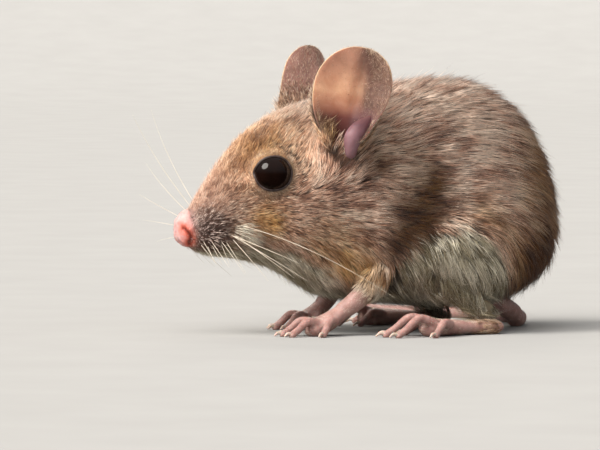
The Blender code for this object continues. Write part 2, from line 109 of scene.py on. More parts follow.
FORE_DIGITS = (
    ((7.0, -7.6, 2.2), (6.0, -8.9, 1.0), 0.1),
    ((7.2, -9.8, 1.9), (5.9, -14.0, 0.3), 1.0),
    ((8.1, -10.2, 1.9), (7.8, -15.1, 0.3), 1.1),
    ((9.1, -9.8, 1.9), (9.9, -14.4, 0.3), 1.0),
    ((9.6, -7.6, 2.3), (11.8, -10.2, 0.3), 0.7),
)
FORE_DIGIT_RADII = (0.76, 0.64, 0.58, 0.6)
CLAW_RADII = (0.3, 0.24, 0.12)
FORE_CLAW, HIND_CLAW = 0.9, 1.1
STEP = {"fore_left": 0.0, "fore_right": 4.6, "hind_left": 0.0, "hind_right": 1.4}
SWING_HEIGHT = 12.0
TAIL_COURSE = (
    (0.0, 18.5, 6.4),
    (-0.5, 22.4, 3.9),
    (-3.6, 26.4, 1.9),
    (-10.5, 29.4, 1.3),
    (-20.5, 28.6, 1.2),
    (-30.0, 24.2, 1.0),
    (-39.5, 20.4, 0.85),
    (-49.5, 19.8, 0.7),
    (-58.5, 22.6, 0.5),
    (-66.0, 27.4, 0.34),
)
TAIL_ROOT_RADIUS, TAIL_TIP_RADIUS = 1.8, 0.4
TAIL_LYING = 0.24
TAIL_STEPS = 120
FLOOR_BITE = 0.22

# ---- the skin -------------------------------------------------------------------------------------------
SKIN_RINGS, SKIN_SEGMENTS = 140, 120
SKIN_VOXEL = 0.2
ALL_RELAX, COVERED_RELAX = 4, 60  # how often the mesh is evened out: everywhere, then under a deep coat
COVERED_KEPT, ALL_KEPT = 0.4, 0.6  # shares of the fine mesh kept: where the coat hides it, then everywhere
# how deep the skin lies under the tips of the coat, by place along Y
COAT_DEPTH = np.array((
    (-29.0, 0.0), (-27.6, 0.02), (-26.0, 0.22), (-23.0, 0.42), (-19.0, 0.62), (-14.0, 0.9),
    (-9.0, 1.2), (-4.0, 1.6), (3.0, 2.0), (12.0, 2.3), (32.0, 2.3),
))
LID_DEPTH, LID_DEPTH_REACH = 0.16, 2.6  # the coat's depth at the eyelids, and how far out that goes
# soft dips that only the skin has: centre of the left one, reach, height
HOLLOWS = (
    ((14.2, 6.8, 20.5), 3.6, -0.7), ((14.0, 4.6, 16.0), 3.2, -0.9), ((13.4, 2.2, 12.0), 2.6, -0.7),
    ((11.6, -0.8, 25.0), 2.4, -0.5),
)

nose_low, nose_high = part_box("nose")
OFFSET = np.array(((nose_low.x + nose_high.x) / 2 / MM, nose_low.y / MM - NOSE_TIP_Y, 0.0))


def to_world(points):
    """Millimetres in the mouse's own frame, as the frame's metres."""
    return (np.asarray(points, float) + OFFSET) * MM


# ---- small helpers --------------------------------------------------------------------------------------
def smoothstep(low, high, value):
    t = np.clip((value - low) / (high - low), 0.0, 1.0)
    return t * t * (3 - 2 * t)


def unit(vectors):
    return vectors / np.maximum(np.linalg.norm(vectors, axis=-1, keepdims=True), 1e-9)


def bell(value, reach, power=2):
    """One at nought, falling away softly over that reach."""
    return np.exp(-((value / reach) ** power))


def apart(places, others):
    """Distances of places from another, or of each from several."""
    return np.linalg.norm(places - others, axis=-1)


def noise(points, size, seed):
    """Smooth value noise from -1 to 1, with cells of that size in millimetres."""
    q = points / size + seed * 7.31
    cell = np.floor(q).astype(np.int64)
    f = q - cell
    f = f * f * (3 - 2 * f)
    total = np.zeros(len(points))
    for dx in (0, 1):
        for dy in (0, 1):
            for dz in (0, 1):
                h = (cell[:, 0] + dx) * 73856093 ^ (cell[:, 1] + dy) * 19349663 ^ (cell[:, 2] + dz) * 83492791
                h = ((h ^ (seed * 2654435761)) * 1274126177) & 0x7FFFFFFF
                h = ((h ^ (h >> 13)) * 1103515245 + 12345) & 0x7FFFFFFF
                value = ((h >> 8) & 0xFFFF) / 32767.5 - 1.0
                weight = (f[:, 0] if dx else 1 - f[:, 0]) * (f[:, 1] if dy else 1 - f[:, 1])
                total += value * weight * (f[:, 2] if dz else 1 - f[:, 2])
    return total


def smooth_course(course, count):
    """count points evenly spaced by parameter along a Catmull-Rom curve through the course's points."""
    points = np.array(course, float)
    padded = np.vstack([2 * points[0] - points[1], points, 2 * points[-1] - points[-2]])
    found = []
    for t in np.linspace(0, len(points) - 1, count):
        i = min(int(t), len(points) - 2)
        f = t - i
        a, b, c, d = padded[i : i + 4]
        found.append(
            0.5 * (2 * b + (c - a) * f + (2 * a - 5 * b + 4 * c - d) * f * f + (3 * b - a - 3 * c + d) * f**3)
        )
    return np.array(found)


# ---- meshes ---------------------------------------------------------------------------------------------
ROUND_END = ((0.55, 0.78), (0.95, 0.0))  # a tube's end: how far past it, and how thick, in radii


def linked(name, data):
    """A new object in the scene."""
    obj = bpy.data.objects.new(name, data)
    bpy.context.scene.collection.objects.link(obj)
    return obj


def mesh_object(name, points, faces, material):
    """An object from points in millimetres in the mouse's own frame."""
    mesh = bpy.data.meshes.new(name)
    mesh.from_pydata([tuple(p) for p in to_world(points)], [], faces)
    mesh.validate()
    mesh.materials.append(material)
    mesh.shade_smooth()
    return linked(name, mesh)


def rings(list_of_rings, first=None, last=None):
    """Points and faces of a skinned list of equal rings. An end is closed by a point, or flat without one."""
    count = len(list_of_rings[0])
    points = [p for ring in list_of_rings for p in ring]
    faces = []
    for i in range(len(list_of_rings) - 1):
        for j in range(count):
            k = (j + 1) % count
            faces.append((i * count + j, i * count + k, (i + 1) * count + k, (i + 1) * count + j))
    for end, start, turned in ((first, 0, True), (last, (len(list_of_rings) - 1) * count, False)):
        if end is None:
            cap = [start + j for j in range(count)]
            faces.append(cap[::-1] if turned else cap)
        else:
            points.append(end)
            for j in range(count):
                a, b = start + j, start + (j + 1) % count
                faces.append((b, a, len(points) - 1) if turned else (a, b, len(points) - 1))
    return points, faces


def tube(course, radii, sides, flat, steps, level=(0, 0, 1.0)):
    """A round-ended tube along a smooth course, which never runs along level. flat squeezes its height."""
    line = smooth_course(course, steps)
    size = np.interp(np.linspace(0, 1, steps), np.linspace(0, 1, len(radii)), radii)
    along = unit(np.gradient(line, axis=0))
    (past, thick), (tip, _) = ROUND_END
    first, last = line[0] - along[0] * size[0] * tip, line[-1] + along[-1] * size[-1] * tip
    line = np.vstack([line[0] - along[0] * size[0] * past, line, line[-1] + along[-1] * size[-1] * past])
    along = np.vstack([along[0], along, along[-1]])
    size = np.concatenate([[size[0] * thick], size, [size[-1] * thick]])
    made = []
    for point, forward, radius in zip(line, along, size):
        across = unit(np.cross(forward, level))
        up = np.cross(across, forward)
        turns = np.arange(sides) * 2 * math.pi / sides
        made.append([point + radius * (math.cos(t) * across + flat * math.sin(t) * up) for t in turns])
    return rings(made, first, last)


def ball(centre, radii, tilt, rows=40, columns=48):
    """An ellipsoid, tilted about X by that many degrees."""
    a = math.radians(tilt)
    turn = np.array(((1, 0, 0), (0, math.cos(a), -math.sin(a)), (0, math.sin(a), math.cos(a))))
    made = []
    for i in range(1, rows):
        t = math.pi * i / rows
        ring = [
            (math.sin(t) * math.cos(p), math.sin(t) * math.sin(p), math.cos(t))
            for p in (2 * math.pi * k / columns for k in range(columns))
        ]
        made.append(np.array(ring) * radii @ turn.T + centre)
    ends = [np.array((0, 0, s)) * radii @ turn.T + centre for s in (1, -1)]
    return rings(made, *ends)


def together(parts):
    """Several meshes as one list of points and one of faces."""
    points, faces = [], []
    for some_points, some_faces in parts:
        start = len(points)
        points += [tuple(p) for p in some_points]
        faces += [tuple(start + i for i in face) for face in some_faces]
    return points, faces


# ---- the long body --------------------------------------------------------------------------------------
def sections_at(y):
    """Top, bottom, half width, widest share and two squarenesses at each y, one row for each."""
    y = np.atleast_1d(y)
    places = STATIONS[:, 0]
    slopes = np.gradient(STATIONS[:, 1:], places, axis=0)
    i = np.clip(np.searchsorted(places, y) - 1, 0, len(places) - 2)
    span = (places[i + 1] - places[i])[:, None]
    t = np.clip((y - places[i])[:, None] / span, 0, 1)
    return (
        (2 * t**3 - 3 * t**2 + 1) * STATIONS[i, 1:]
        + (t**3 - 2 * t**2 + t) * span * slopes[i]
        + (3 * t**2 - 2 * t**3) * STATIONS[i + 1, 1:]
        + (t**3 - t**2) * span * slopes[i + 1]
    )


def section_ring(y):
    """The outline of the long body at one place, rounder above than below."""
    top, bottom, width, share, upper_square, lower_square = sections_at(y)[0]
    widest = bottom + share * (top - bottom)
    a = np.arange(SKIN_SEGMENTS) * 2 * math.pi / SKIN_SEGMENTS
    c, s = np.cos(a), np.sin(a)
    square = np.where(s > 0, upper_square, lower_square)
    reach = np.where(s > 0, top - widest, widest - bottom)
    x = width * np.sign(c) * np.abs(c) ** (2 / square)
    z = widest + reach * np.sign(s) * np.abs(s) ** (2 / square)
    return np.stack([x, np.full_like(x, y), z], axis=1)


def closing_rings(full_y, tip_y, tip_z, degrees):
    """Rings that round off the nose or the rump."""
    ring = section_ring(full_y)
    top, bottom = sections_at(full_y)[0][:2]
    middle = (top + bottom) / 2
    made = []
    for a in np.radians(degrees):
        shift = (tip_z - middle) * (1 - math.cos(a))
        y = full_y + (tip_y - full_y) * math.sin(a)
        z = middle + shift + (ring[:, 2] - middle) * math.cos(a)
        made.append(np.stack([ring[:, 0] * math.cos(a), np.full(len(ring), y), z], axis=1))
    return made


def coat_depth(points):
    """How far the skin lies below the tips of the coat."""
    depth = np.interp(points[:, 1], *COAT_DEPTH.T)
    eye = apart(mirrored(points), EYE_CENTRE)
    near = 1 - smoothstep(EYE_RADIUS, EYE_RADIUS + LID_DEPTH_REACH, eye)
    return depth + (LID_DEPTH - depth) * near


def mirrored(points):
    """Places on either side, as places on the left."""
    return np.abs(points * (1, 0, 0)) + points * (0, 1, 1)


def body_form():
    """The long body at the depth of the skin."""
    nose = closing_rings(NOSE_FULL_Y, NOSE_TIP_Y, NOSE_TIP_Z, np.linspace(86, 8, 12))
    middle = [section_ring(y) for y in np.linspace(NOSE_FULL_Y, RUMP_FULL_Y, SKIN_RINGS)]
    rump = closing_rings(RUMP_FULL_Y, RUMP_TIP_Y, RUMP_TIP_Z, np.linspace(3, 87, 38))
    tips = (0, NOSE_TIP_Y, NOSE_TIP_Z), (0, RUMP_TIP_Y, RUMP_TIP_Z)
    points, faces = rings(nose + middle + rump, *tips)
    points = np.array([tuple(p) for p in points])
    for place, reach, height in BULGES + HOLLOWS:
        near = apart(mirrored(points), place)
        points += outward(points, faces) * (height * bell(near, reach))[:, None]
    points -= outward(points, faces) * coat_depth(points)[:, None]
    return points, faces


def outward(points, faces):
    """The normal at each point."""
    normals = np.zeros_like(points)
    quads = np.array([face for face in faces if len(face) == 4])
    tris = np.array([face for face in faces if len(face) == 3])
    for group, second in ((quads, 3), (tris, 2)):
        a, b, c = (points[group[:, k]] for k in (0, 1, 2))
        d = points[group[:, second]]
        normal = np.cross(c - a, d - b) if second == 3 else np.cross(b - a, c - a)
        for k in range(group.shape[1]):
            np.add.at(normals, group[:, k], normal)
    normals = unit(normals)
    centre = points.mean(axis=0)
    return normals * np.sign(np.sum(normals * (points - centre), axis=1).sum())


# ---- limbs, tail and their centre lines -----------------------------------------------------------------
# kind, course and how far it moves in or down under the coat, foot, the skin's radii, flatness
LIMBS = (
    ("arm", FOREARM, (0, 0, 0), "fore", (1.0, 1.6, 1.45, 1.3), 1.0),
    ("paw", FORE_PALM, (0, 0, 0), "fore", FORE_PALM_RADII, 0.82),
    ("shank", SHANK, (1.5, 0, 0), "hind", (0.9, 1.0, 1.2), 1.0),
    ("foot", HIND_PALM, (0, 0, 0.2), "hind", (1.35, 1.45, 1.85, 2.15), 0.66),
)


def placed(points, side, foot):
    """A limb's points on that side, set back by its step, more the lower they lie."""
    step = STEP[f"{foot}_{side}"]
    return [(SIDES[side] * x, y + step * max(0.0, 1 - z / SWING_HEIGHT), z) for x, y, z in points]


def digit_course(root, tip, rise):
    """A digit that arches from root to tip."""
    root, tip = np.array(root), np.array(tip)
    knuckle = root + 0.42 * (tip - root) + (0, 0, rise)
    last_joint = root + 0.78 * (tip - root) + (0, 0, rise * 0.35)
    return root, knuckle, last_joint, tip


def tail_line():
    """The tail's course and radii. All but its root lies on the floor."""
    line = smooth_course(TAIL_COURSE, TAIL_STEPS)
    share = np.linspace(0, 1, TAIL_STEPS)
    radii = TAIL_ROOT_RADIUS + (TAIL_TIP_RADIUS - TAIL_ROOT_RADIUS) * share**0.85
    lying = smoothstep(TAIL_LYING - 0.04, TAIL_LYING, share)
    line[:, 2] += (radii - FLOOR_BITE - line[:, 2]) * lying
    return line, radii


def limb_lines():
    """Centre lines of limbs, toes and tail: kind, points, radii, flatness."""
    lines = []
    for side in SIDES:
        for kind, course, shift, foot, radii, flat in LIMBS:
            lines.append((kind, placed(np.array(course) - shift, side, foot), radii, flat))
        for foot, kind, digits, radii, slimmer in (
            ("fore", "finger", FORE_DIGITS, FORE_DIGIT_RADII, 0.94),
            ("hind", "toe", HIND_DIGITS, HIND_DIGIT_RADII, 0.86),
        ):
            for root, tip, rise in digits:
                ends = placed((root, tip), side, foot)
                lines.append((kind, digit_course(*ends, rise), np.array(radii) * slimmer, 1.0))
    line, radii = tail_line()
    lines.append(("tail", line, radii, 1.0))
    return lines


LINES = limb_lines()
LINE_KINDS = np.array([line[0] for line in LINES] + ["none"])
LINE_STEPS = {"arm": 18, "paw": 14, "shank": 16, "foot": 20, "finger": 18, "toe": 20, "tail": TAIL_STEPS}


def near_line(points):
    """For each point, the nearest limb or tail: its kind's number, its tangent, and the share outside it."""
    best = np.full(len(points), 9.0)
    kind = np.full(len(points), -1)
    tangent = np.zeros((len(points), 3))
    share = np.zeros(len(points))
    for number, (name, course, radii, _) in enumerate(LINES):
        steps = LINE_STEPS[name]
        line = smooth_course(course, steps)
        size = np.interp(np.linspace(0, 1, steps), np.linspace(0, 1, len(radii)), radii)
        low, high = line.min(axis=0) - 4, line.max(axis=0) + 4
        inside = np.flatnonzero(np.all((points > low) & (points < high), axis=1))
        if not len(inside):
            continue
        away = apart(points[inside, None], line[None]) / size[None]
        at = away.argmin(axis=1)
        ratio = away[np.arange(len(inside)), at]
        better = ratio < best[inside]
        chosen = inside[better]
        best[chosen] = ratio[better]
        kind[chosen] = number
        tangent[chosen] = unit(np.gradient(line, axis=0))[at[better]]
        share[chosen] = at[better] / (steps - 1)
    return best, kind, tangent, share


# ---- markings and painted shade: alike for skin and coat ------------------------------------------------
# height of the line between the brown flank and the white underside, by place along Y
UNDER_LINE = np.array((
    (-29.0, 10.6), (-26.0, 12.0), (-22.0, 13.0), (-17.0, 12.8), (-12.0, 11.2), (-7.0, 8.6), (-3.0, 5.6),
    (0.0, 6.0), (1.9, 9.4), (5.4, 13.2), (9.4, 15.2), (12.6, 15.6), (14.7, 14.0), (17.5, 10.8),
    (18.8, 7.2), (20.5, 4.0), (24.0, 1.5), (32.0, 1.0),
))
# soft patches: centre of the left one, reach, strength
# painted shade: the crease behind the shoulder, the neck behind the ear, and the dips by the eye and the pad
PAINTED_SHADE_PLACES = (
    ((11.0, 5.0, 27.5), 3.0, 0.45), ((13.5, 7.2, 23.6), 3.0, 0.65), ((14.0, 6.4, 20.5), 3.2, 1.0),
    ((14.0, 4.8, 17.6), 3.2, 1.1), ((14.0, 3.2, 15.0), 2.8, 1.0), ((13.5, 1.8, 12.9), 2.4, 0.8),
    ((13.0, 0.4, 11.0), 2.0, 0.4), ((11.5, -0.2, 25.6), 2.0, 1.0), ((11.4, -1.6, 23.4), 1.6, 0.4),
    ((6.2, -20.3, 19.3), 1.9, 0.3), ((5.6, -22.4, 16.6), 1.4, 0.4),
)
WARM_PLACES = (
    ((9.5, -3.5, 9.0), 3.4, 0.85), ((7.6, -16.8, 16.8), 2.6, 1.0), ((5.0, -17.0, 28.0), 6.5, 0.7),
    ((11.0, -8.0, 12.5), 4.5, 0.6), ((14.0, 4.5, 17.2), 4.0, 0.2), ((13.5, 15.5, 17.2), 2.8, 0.45),
    ((12.9, 18.0, 14.6), 2.6, 0.3), ((12.5, 19.5, 9.5), 2.8, 0.2), ((12.0, -2.0, 30.0), 4.0, 0.3),
    ((8.0, 25.0, 22.0), 6.0, 0.35),
)
# the pale patches high on the back and flank are painted light from above; the others are the coat's own tone
TONE_AND_LIGHT_PLACES = (  # paler above nought, deeper below it
    ((8.0, 13.5, 30.5), 6.5, 0.4), ((4.0, -19.0, 28.5), 5.0, -0.27), ((12.5, 13.0, 22.5), 8.0, 0.18),
    ((9.5, -2.3, 27.2), 2.0, 0.55), ((13.5, 5.0, 22.0), 8.0, 0.12), ((3.5, -22.7, 22.6), 3.0, -0.1),
    ((8.0, -14.8, 17.4), 2.5, -0.1), ((11.0, -5.2, 9.5), 3.6, 0.75), ((10.0, -8.4, 15.0), 3.5, -0.06),
    ((9.5, -9.6, 25.5), 3.0, -0.22), ((13.5, 11.0, 14.5), 2.6, 0.06), ((13.0, 8.0, 5.5), 3.5, -0.12),
    ((12.7, 18.8, 11.5), 3.0, 0.12),
)
WHITE_BORDER = (13.6, 7.8, 12.6)  # bright hairs where the white begins behind the shoulder
PAD_FAN = (6.0, -20.7, 15.2)  # pale hairs behind the whisker pad
PAD_MARK, PAD_MARK_REACH = (3.6, -25.4, 15.4), 3.5  # the sparsely haired whisker pad
EYE_RING_OUT, EYE_RING_REACH = 0.3, 0.6  # the pale ring round the eye
FOLLICLE_ROWS, FOLLICLES = 6, 7  # dark roots of the whiskers, in rows over the pad


def follicles():
    """Places of the whiskers' roots on the left pad, in rows that run back from the nose."""
    found = []
    for row in range(FOLLICLE_ROWS):
        for number in range(FOLLICLES):
            y = -26.2 + 0.74 * number + 0.3 * (row % 2) + 0.1 * row
            z = 17.9 - 0.86 * row - 0.16 * number + 0.06 * (number - 3) * (row - 2)
            found.append((y, z))
    return np.array(found)


def patches(points, places):
    """Sum of soft patches, each strongest at its centre; the right side mirrors the left."""
    place, found = mirrored(points), np.zeros(len(points))
    for centre, reach, strength in places:
        found += strength * bell(apart(place, centre), reach) * (1 + 0.35 * noise(points, 1.6, 21))
    return found


def markings(points):
    """White underside, dark patches (mostly painted shade), warm patches and bare pad: four shares for each
    place.
    """
    place = mirrored(points)
    x, y, z = points.T
    wander = 0.9 * noise(points, 2.6, 11) + 0.5 * noise(points, 0.9, 12)
    white = smoothstep(-0.9, 0.9, np.interp(y, *UNDER_LINE.T) + wander - z)
    dark, warm = patches(points, PAINTED_SHADE_PLACES), patches(points, WARM_PLACES)
    rump = smoothstep(19, 27, y + 0.12 * (16 - z))
    # painted shade over the rump, which faces away from the light
    dark += 0.6 * rump * (1 + 0.3 * noise(points, 3.0, 31))
    dark += 0.35 * (bell(x, 4.5) * smoothstep(13, 20, y) * smoothstep(13, 19, z))
    # deeper painted shade low on the rump
    low = smoothstep(17, 9, z) * smoothstep(17, 22, y)
    dark += 0.55 * low
    # the painted shade on the rump and low on it gets an olive warmth
    warm += 0.38 * rump + 0.5 * low
    pad = bell(apart(place, PAD_MARK), PAD_MARK_REACH)
    fan = bell(apart(place, PAD_FAN), 1.6, 4)
    dark *= 1 - fan
    ring = bell(apart(place, EYE_CENTRE) - EYE_RADIUS - EYE_RING_OUT, EYE_RING_REACH)
    behind = smoothstep(-0.2, 0.9, place[:, 1] - EYE_CENTRE[1] - 0.6 * (place[:, 2] - EYE_CENTRE[2]))
    white = np.maximum(white, np.maximum(0.3 * fan, 0.4 * ring * (0.35 + 0.65 * behind)))
    return np.clip(np.stack([white, dark, warm, pad], axis=1), 0, 1)


# ---- making the skin ------------------------------------------------------------------------------------
HUG_GAP, HUG_SLOPE, HUG_SUNK = 0.12, 0.8, 0.35  # the skin at the lids' edge, beyond it, and under the opening


def make_skin():
    parts = [body_form()]
    for side in SIDES:
        centre = placed([THIGH_CENTRE], side, "hind")[0]
        parts.append(ball(centre, np.array(THIGH_RADII) - 2.0, THIGH_TILT))
    for kind, course, radii, flat in LINES:
        parts.append(tube(course, radii, 16, flat, LINE_STEPS[kind]))
    points, faces = together(parts)
    mesh = bpy.data.meshes.new("skin")
    mesh.from_pydata(points, [], faces)
    obj = linked("skin", mesh)
    melt = obj.modifiers.new("melt", "REMESH")
    melt.mode = "VOXEL"
    melt.voxel_size = SKIN_VOXEL
    relax(obj, ALL_RELAX, "")
    mark_covered(obj)
    relax(obj, COVERED_RELAX, "covered")
    obj.vertex_groups.clear()
    co = points_of(obj.data)
    co[:, 2] = np.maximum(co[:, 2], 0.0)
    co = hug_eyes(co)
    carve(obj.data, co)
    obj.data.update()
    thin_out(obj)
    return obj


def relax(obj, times, group):
    """Evens out the mesh, or a group of it."""
    smooth = obj.modifiers.new("relax", "SMOOTH")
    smooth.vertex_group, smooth.factor, smooth.iterations = group, 0.5, times
    bake(obj)


def hug_eyes(co):
    """Draws the skin up to the edge of the lids, and sinks it under the eye's opening."""
    for side in SIDES:
        centre, axis, ahead, up = eye_frame(side)
        near = np.flatnonzero(apart(co, centre) < EYE_RADIUS + 2.6)
        away = co[near] - centre
        distance = np.linalg.norm(away, axis=1)
        angle = np.arccos(np.clip(away @ axis / distance, -1, 1))
        beyond = angle - lid_opening(np.arctan2(away @ up, away @ ahead))
        edge = EYE_RADIUS + HUG_GAP
        slope = edge + HUG_SLOPE * EYE_RADIUS * np.maximum(beyond - 0.04, 0)
        drawn = 1 - smoothstep(EYE_RADIUS + 0.9, EYE_RADIUS + 2.5, distance)
        hugged = np.maximum(distance + np.minimum(slope - distance, 0) * drawn, edge)
        sunk = np.minimum(distance, EYE_RADIUS - HUG_SUNK)
        over = (beyond < 0) & (distance > EYE_RADIUS + 1.4)
        wanted = np.where(over, distance, sunk + (hugged - sunk) * smoothstep(0.008, 0.05, beyond))
        co[near] = centre + away * (wanted / distance)[:, None]
    return co


def bake(obj):
    """Applies the object's modifiers."""
    graph = bpy.context.evaluated_depsgraph_get()
    mesh = bpy.data.meshes.new_from_object(obj.evaluated_get(graph), depsgraph=graph)
    obj.modifiers.clear()
    obj.data = mesh


def points_of(mesh):
    """The mesh's points as an array."""
    co = np.zeros(len(mesh.vertices) * 3, np.float32)
    mesh.vertices.foreach_get("co", co)
    return co.reshape(-1, 3).astype(float)


def normals_of(mesh):
    """The normal at each of the mesh's points."""
    found = np.zeros(len(mesh.vertices) * 3, np.float32)
    mesh.vertex_normals.foreach_get("vector", found)
    return found.reshape(-1, 3).astype(float)


# Fine forms of the skin: a course on the left side, its reach and how far it stands out or sinks in.
NOSTRIL = ((1.7, -28.2, 15.9), (2.3, -27.7, 15.3), (2.4, -27.4, 14.5), (1.9, -27.5, 13.6))
CARVED = (
    (NOSTRIL, 0.34, -0.36),
    (((0.6, -28.9, 15.0), (1.0, -28.6, 14.5), (1.2, -28.3, 13.9)), 0.3, 0.14),  # pad beside the nostril
    (((0.0, -29.1, 15.9), (0.0, -28.8, 14.2), (0.0, -27.2, 12.9)), 0.3, -0.42),  # cleft of the upper lip
    (((0.0, -27.2, 12.7), (1.8, -26.4, 12.4), (3.4, -24.4, 12.6), (4.6, -22.2, 13.4)), 0.3, -0.34),  # mouth
    (((0.5, -28.6, 16.7), (1.4, -27.9, 16.6), (2.1, -27.2, 15.8)), 0.45, 0.16),  # wing of the nose
)


def laid_on(course, co):
    """A smooth course moved to the nearest places of the skin on the left."""
    line = smooth_course(course, 14)
    close = co[(co[:, 0] > -0.3) & (apart(co, line.mean(axis=0)) < 8)]
    away = apart(line[:, None], close[None])
    return close[away.argmin(axis=1)]


def carve(mesh, co):
    """Sinks and raises the fine forms, alike on both sides, and writes the points back."""
    mesh.vertices.foreach_set("co", co.astype(np.float32).ravel())
    mesh.update()
    normals = normals_of(mesh)
    place = mirrored(co)
    for course, reach, height in CARVED:
        line = laid_on(course, co)
        near = np.flatnonzero(apart(place, line.mean(axis=0)) < 9)
        away = apart(place[near, None], line[None]).min(axis=1)
        co[near] += normals[near] * (height * bell(away, reach))[:, None]
    mesh.vertices.foreach_set("co", co.astype(np.float32).ravel())


def covered_by_coat(co):
    """Where a deep coat hides the skin."""
    ratio, kind, _, share = near_line(co)
    names = LINE_KINDS[kind]
    bare = (ratio < 1.4) & (names != "shank") & ~((names == "arm") & (share < 0.3))
    return (co[:, 1] > -13) & ~bare & (co[:, 2] > 3.0)


def mark_covered(obj):
    """A vertex group of the places that a deep coat hides, and those places' share of the whole."""
    covered = covered_by_coat(points_of(obj.data))
    group = obj.vertex_groups.new(name="covered")
    group.add([int(i) for i in np.flatnonzero(covered)], 1.0, "REPLACE")
    return covered.mean()


def thin_out(obj):
    """Keeps the fine mesh at face, feet and tail, and fewer triangles where the coat hides the skin."""
    covered = mark_covered(obj)
    first = obj.modifiers.new("covered", "DECIMATE")
    first.vertex_group = "covered"
    first.ratio = 1 - covered * (1 - COVERED_KEPT)
    second = obj.modifiers.new("all", "DECIMATE")
    second.ratio = ALL_KEPT
    second.use_collapse_triangulate = True
    bake(obj)
    obj.vertex_groups.clear()


# ---- ears -----------------------------------------------------------------------------------------------
EAR_ROWS, EAR_COLUMNS = 60, 72
EAR_LEAN = 1.0  # how far the top stands further back than the root
EAR_FLARE = 1.1  # how far the low rear edge stands out
EAR_RIM, EAR_BODY = 0.3, 0.5  # thickness at the rim and at the root
# course of the fold behind the notch: height, towards the rear, towards the hollow's front
EAR_FOLD = (
    (0.345, 3.7, 0.8), (0.275, 3.2, 1.7), (0.212, 2.6, 2.8), (0.14, 2.1, 3.6), (0.064, 2.05, 4.05),
    (-0.015, 2.1, 4.1),
)
EAR_FOLD_RADII = (0.3, 1.0, 1.4, 1.38, 1.08, 0.8)


def ear_frame(side):
    """The ear's base, its up, forward and rearward ways, and its height."""
    mirror = np.array((SIDES[side], 1, 1))
    base, top = EAR_BASE * mirror, EAR_TOP * mirror
    height = np.linalg.norm(top - base)
    up = (top - base) / height
    facing = EAR_FACING * mirror
    facing = unit(facing - facing.dot(up) * up)
    across = np.cross(up, facing) * SIDES[side]
    return base, up, facing, across, height


def from_ear(place, forward):
    """Height along the left ear's middle, and the way out from it, so far in front of its base."""
    base, up, facing, _, _ = ear_frame("left")
    away = place - (base + facing * forward)
    along = away @ up
    return along, away - along[:, None] * up


def ear_places(side, share, turn, offset):
    """Points of the ear: share of the height, turn from -1 (front) to 1 (rear), depth towards its back."""
    base, up, facing, across, height = ear_frame(side)
    share, turn, offset = np.broadcast_arrays(share, turn, offset)
    rise = share / EAR_WIDEST
    above = np.clip((share - EAR_WIDEST) / (1 - EAR_WIDEST), 0, 1)
    round_top = EAR_HALF_WIDTH * np.sqrt(np.clip(1 - above**EAR_ROUNDNESS, 0, 1))
    widening = (EAR_HALF_WIDTH - EAR_ROOT_HALF_WIDTH) * np.sin(np.clip(rise, 0, 1) * math.pi / 2)
    half = np.where(rise > 1, round_top, EAR_ROOT_HALF_WIDTH + widening)
    flattening = 1 - (1 - np.minimum(1.0, share / EAR_FULL_CURL_SHARE)) ** 2
    curl = np.radians(EAR_ROOT_CURL + (EAR_TOP_CURL - EAR_ROOT_CURL) * flattening)
    radius = np.where(share > EAR_WIDEST, EAR_HALF_WIDTH, half) * 2 / curl
    fuller = 1.25 * bell(share - 0.32, 0.24) * np.clip(turn, 0, 1)
    angle = (turn * half + fuller) / radius
    creased = smoothstep(0.2, 0.45, share) * smoothstep(0.95, 0.7, share)
    crease = 0.55 * bell(turn - 0.1, 0.16) * creased
    reach = radius + offset
    forward = radius - reach * np.cos(angle) - EAR_SWEEP * np.sin(share * math.pi) - crease
    flare = EAR_FLARE * bell(share - 0.16, 0.13) * np.clip(turn, 0, 1) ** 2
    lean = EAR_LEAN * smoothstep(0.35, 1.0, share) + flare
    return (
        base
        + up * (height * share)[..., None]
        + across * (reach * np.sin(angle) + lean)[..., None]
        + facing * forward[..., None]
    )


def ear_mesh(side):
    """The two faces of the shell as one closed form, thinner at the rim."""
    shares = np.append(1 - (1 - np.linspace(0, 1, EAR_ROWS)[:-1]) ** 1.5, 0.997)
    turns = np.sin((np.linspace(0, 1, EAR_COLUMNS + 1) - 0.5) * math.pi)
    share, turn = np.meshgrid(shares, turns, indexing="ij")
    edge = np.maximum(np.abs(turn) ** 6, share**8)
    half = (EAR_BODY + (EAR_RIM - EAR_BODY) * np.maximum(share, np.abs(turn) ** 4)) / 2
    half = half * (1 - 0.45 * edge**4)
    flat = np.stack([share.ravel(), turn.ravel(), np.zeros(share.size)], axis=1) * (9, 5, 1)
    wave = 0.1 * noise(flat, 2.2, 41).reshape(share.shape) * (1 - edge)
    outer = ear_places(side, share, turn, half + wave)
    inner = ear_places(side, share, turn, -half + wave)
    return rings([np.vstack([o, i[::-1]]) for o, i in zip(outer, inner)])


def ear_fold(side):
    """The lobe that closes the rear of the ear's notch and runs down into the cheek."""
    base, up, facing, across, height = ear_frame(side)
    course = [base + up * height * h + across * a + facing * f for h, a, f in EAR_FOLD]
    return tube(course, EAR_FOLD_RADII, 20, 1.0, 30, across)


# face (1 back, -1 inside), from and to turn, from and to height, hairs to the mm2, length low and high, lift
EAR_HAIRS = (
    (-1, -1.0, -0.3, -0.02, 0.28, 60.0, (2.7, 1.3), 0.5),
    (-1, -1.0, -0.86, 0.0, 0.44, 120.0, (1.5, 0.6), 0.25),
    (-1, 0.05, 1.0, 0.06, 0.99, 46.0, (0.8, 0.5), 0.12),
    (-1, -1.0, 0.1, 0.42, 0.99, 9.0, (0.45, 0.3), 0.07),
    (1, -1.0, -0.75, -0.05, 0.46, 150.0, (2.2, 0.7), 0.22),
    (1, -1.0, 0.72, -0.04, 0.6, 56.0, (3.0, 0.6), 0.35),
    (1, 0.72, 1.0, -0.04, 0.5, 60.0, (1.2, 0.6), 0.12),
    (1, -1.0, 1.0, 0.3, 0.995, 22.0, (0.8, 0.45), 0.1),
)


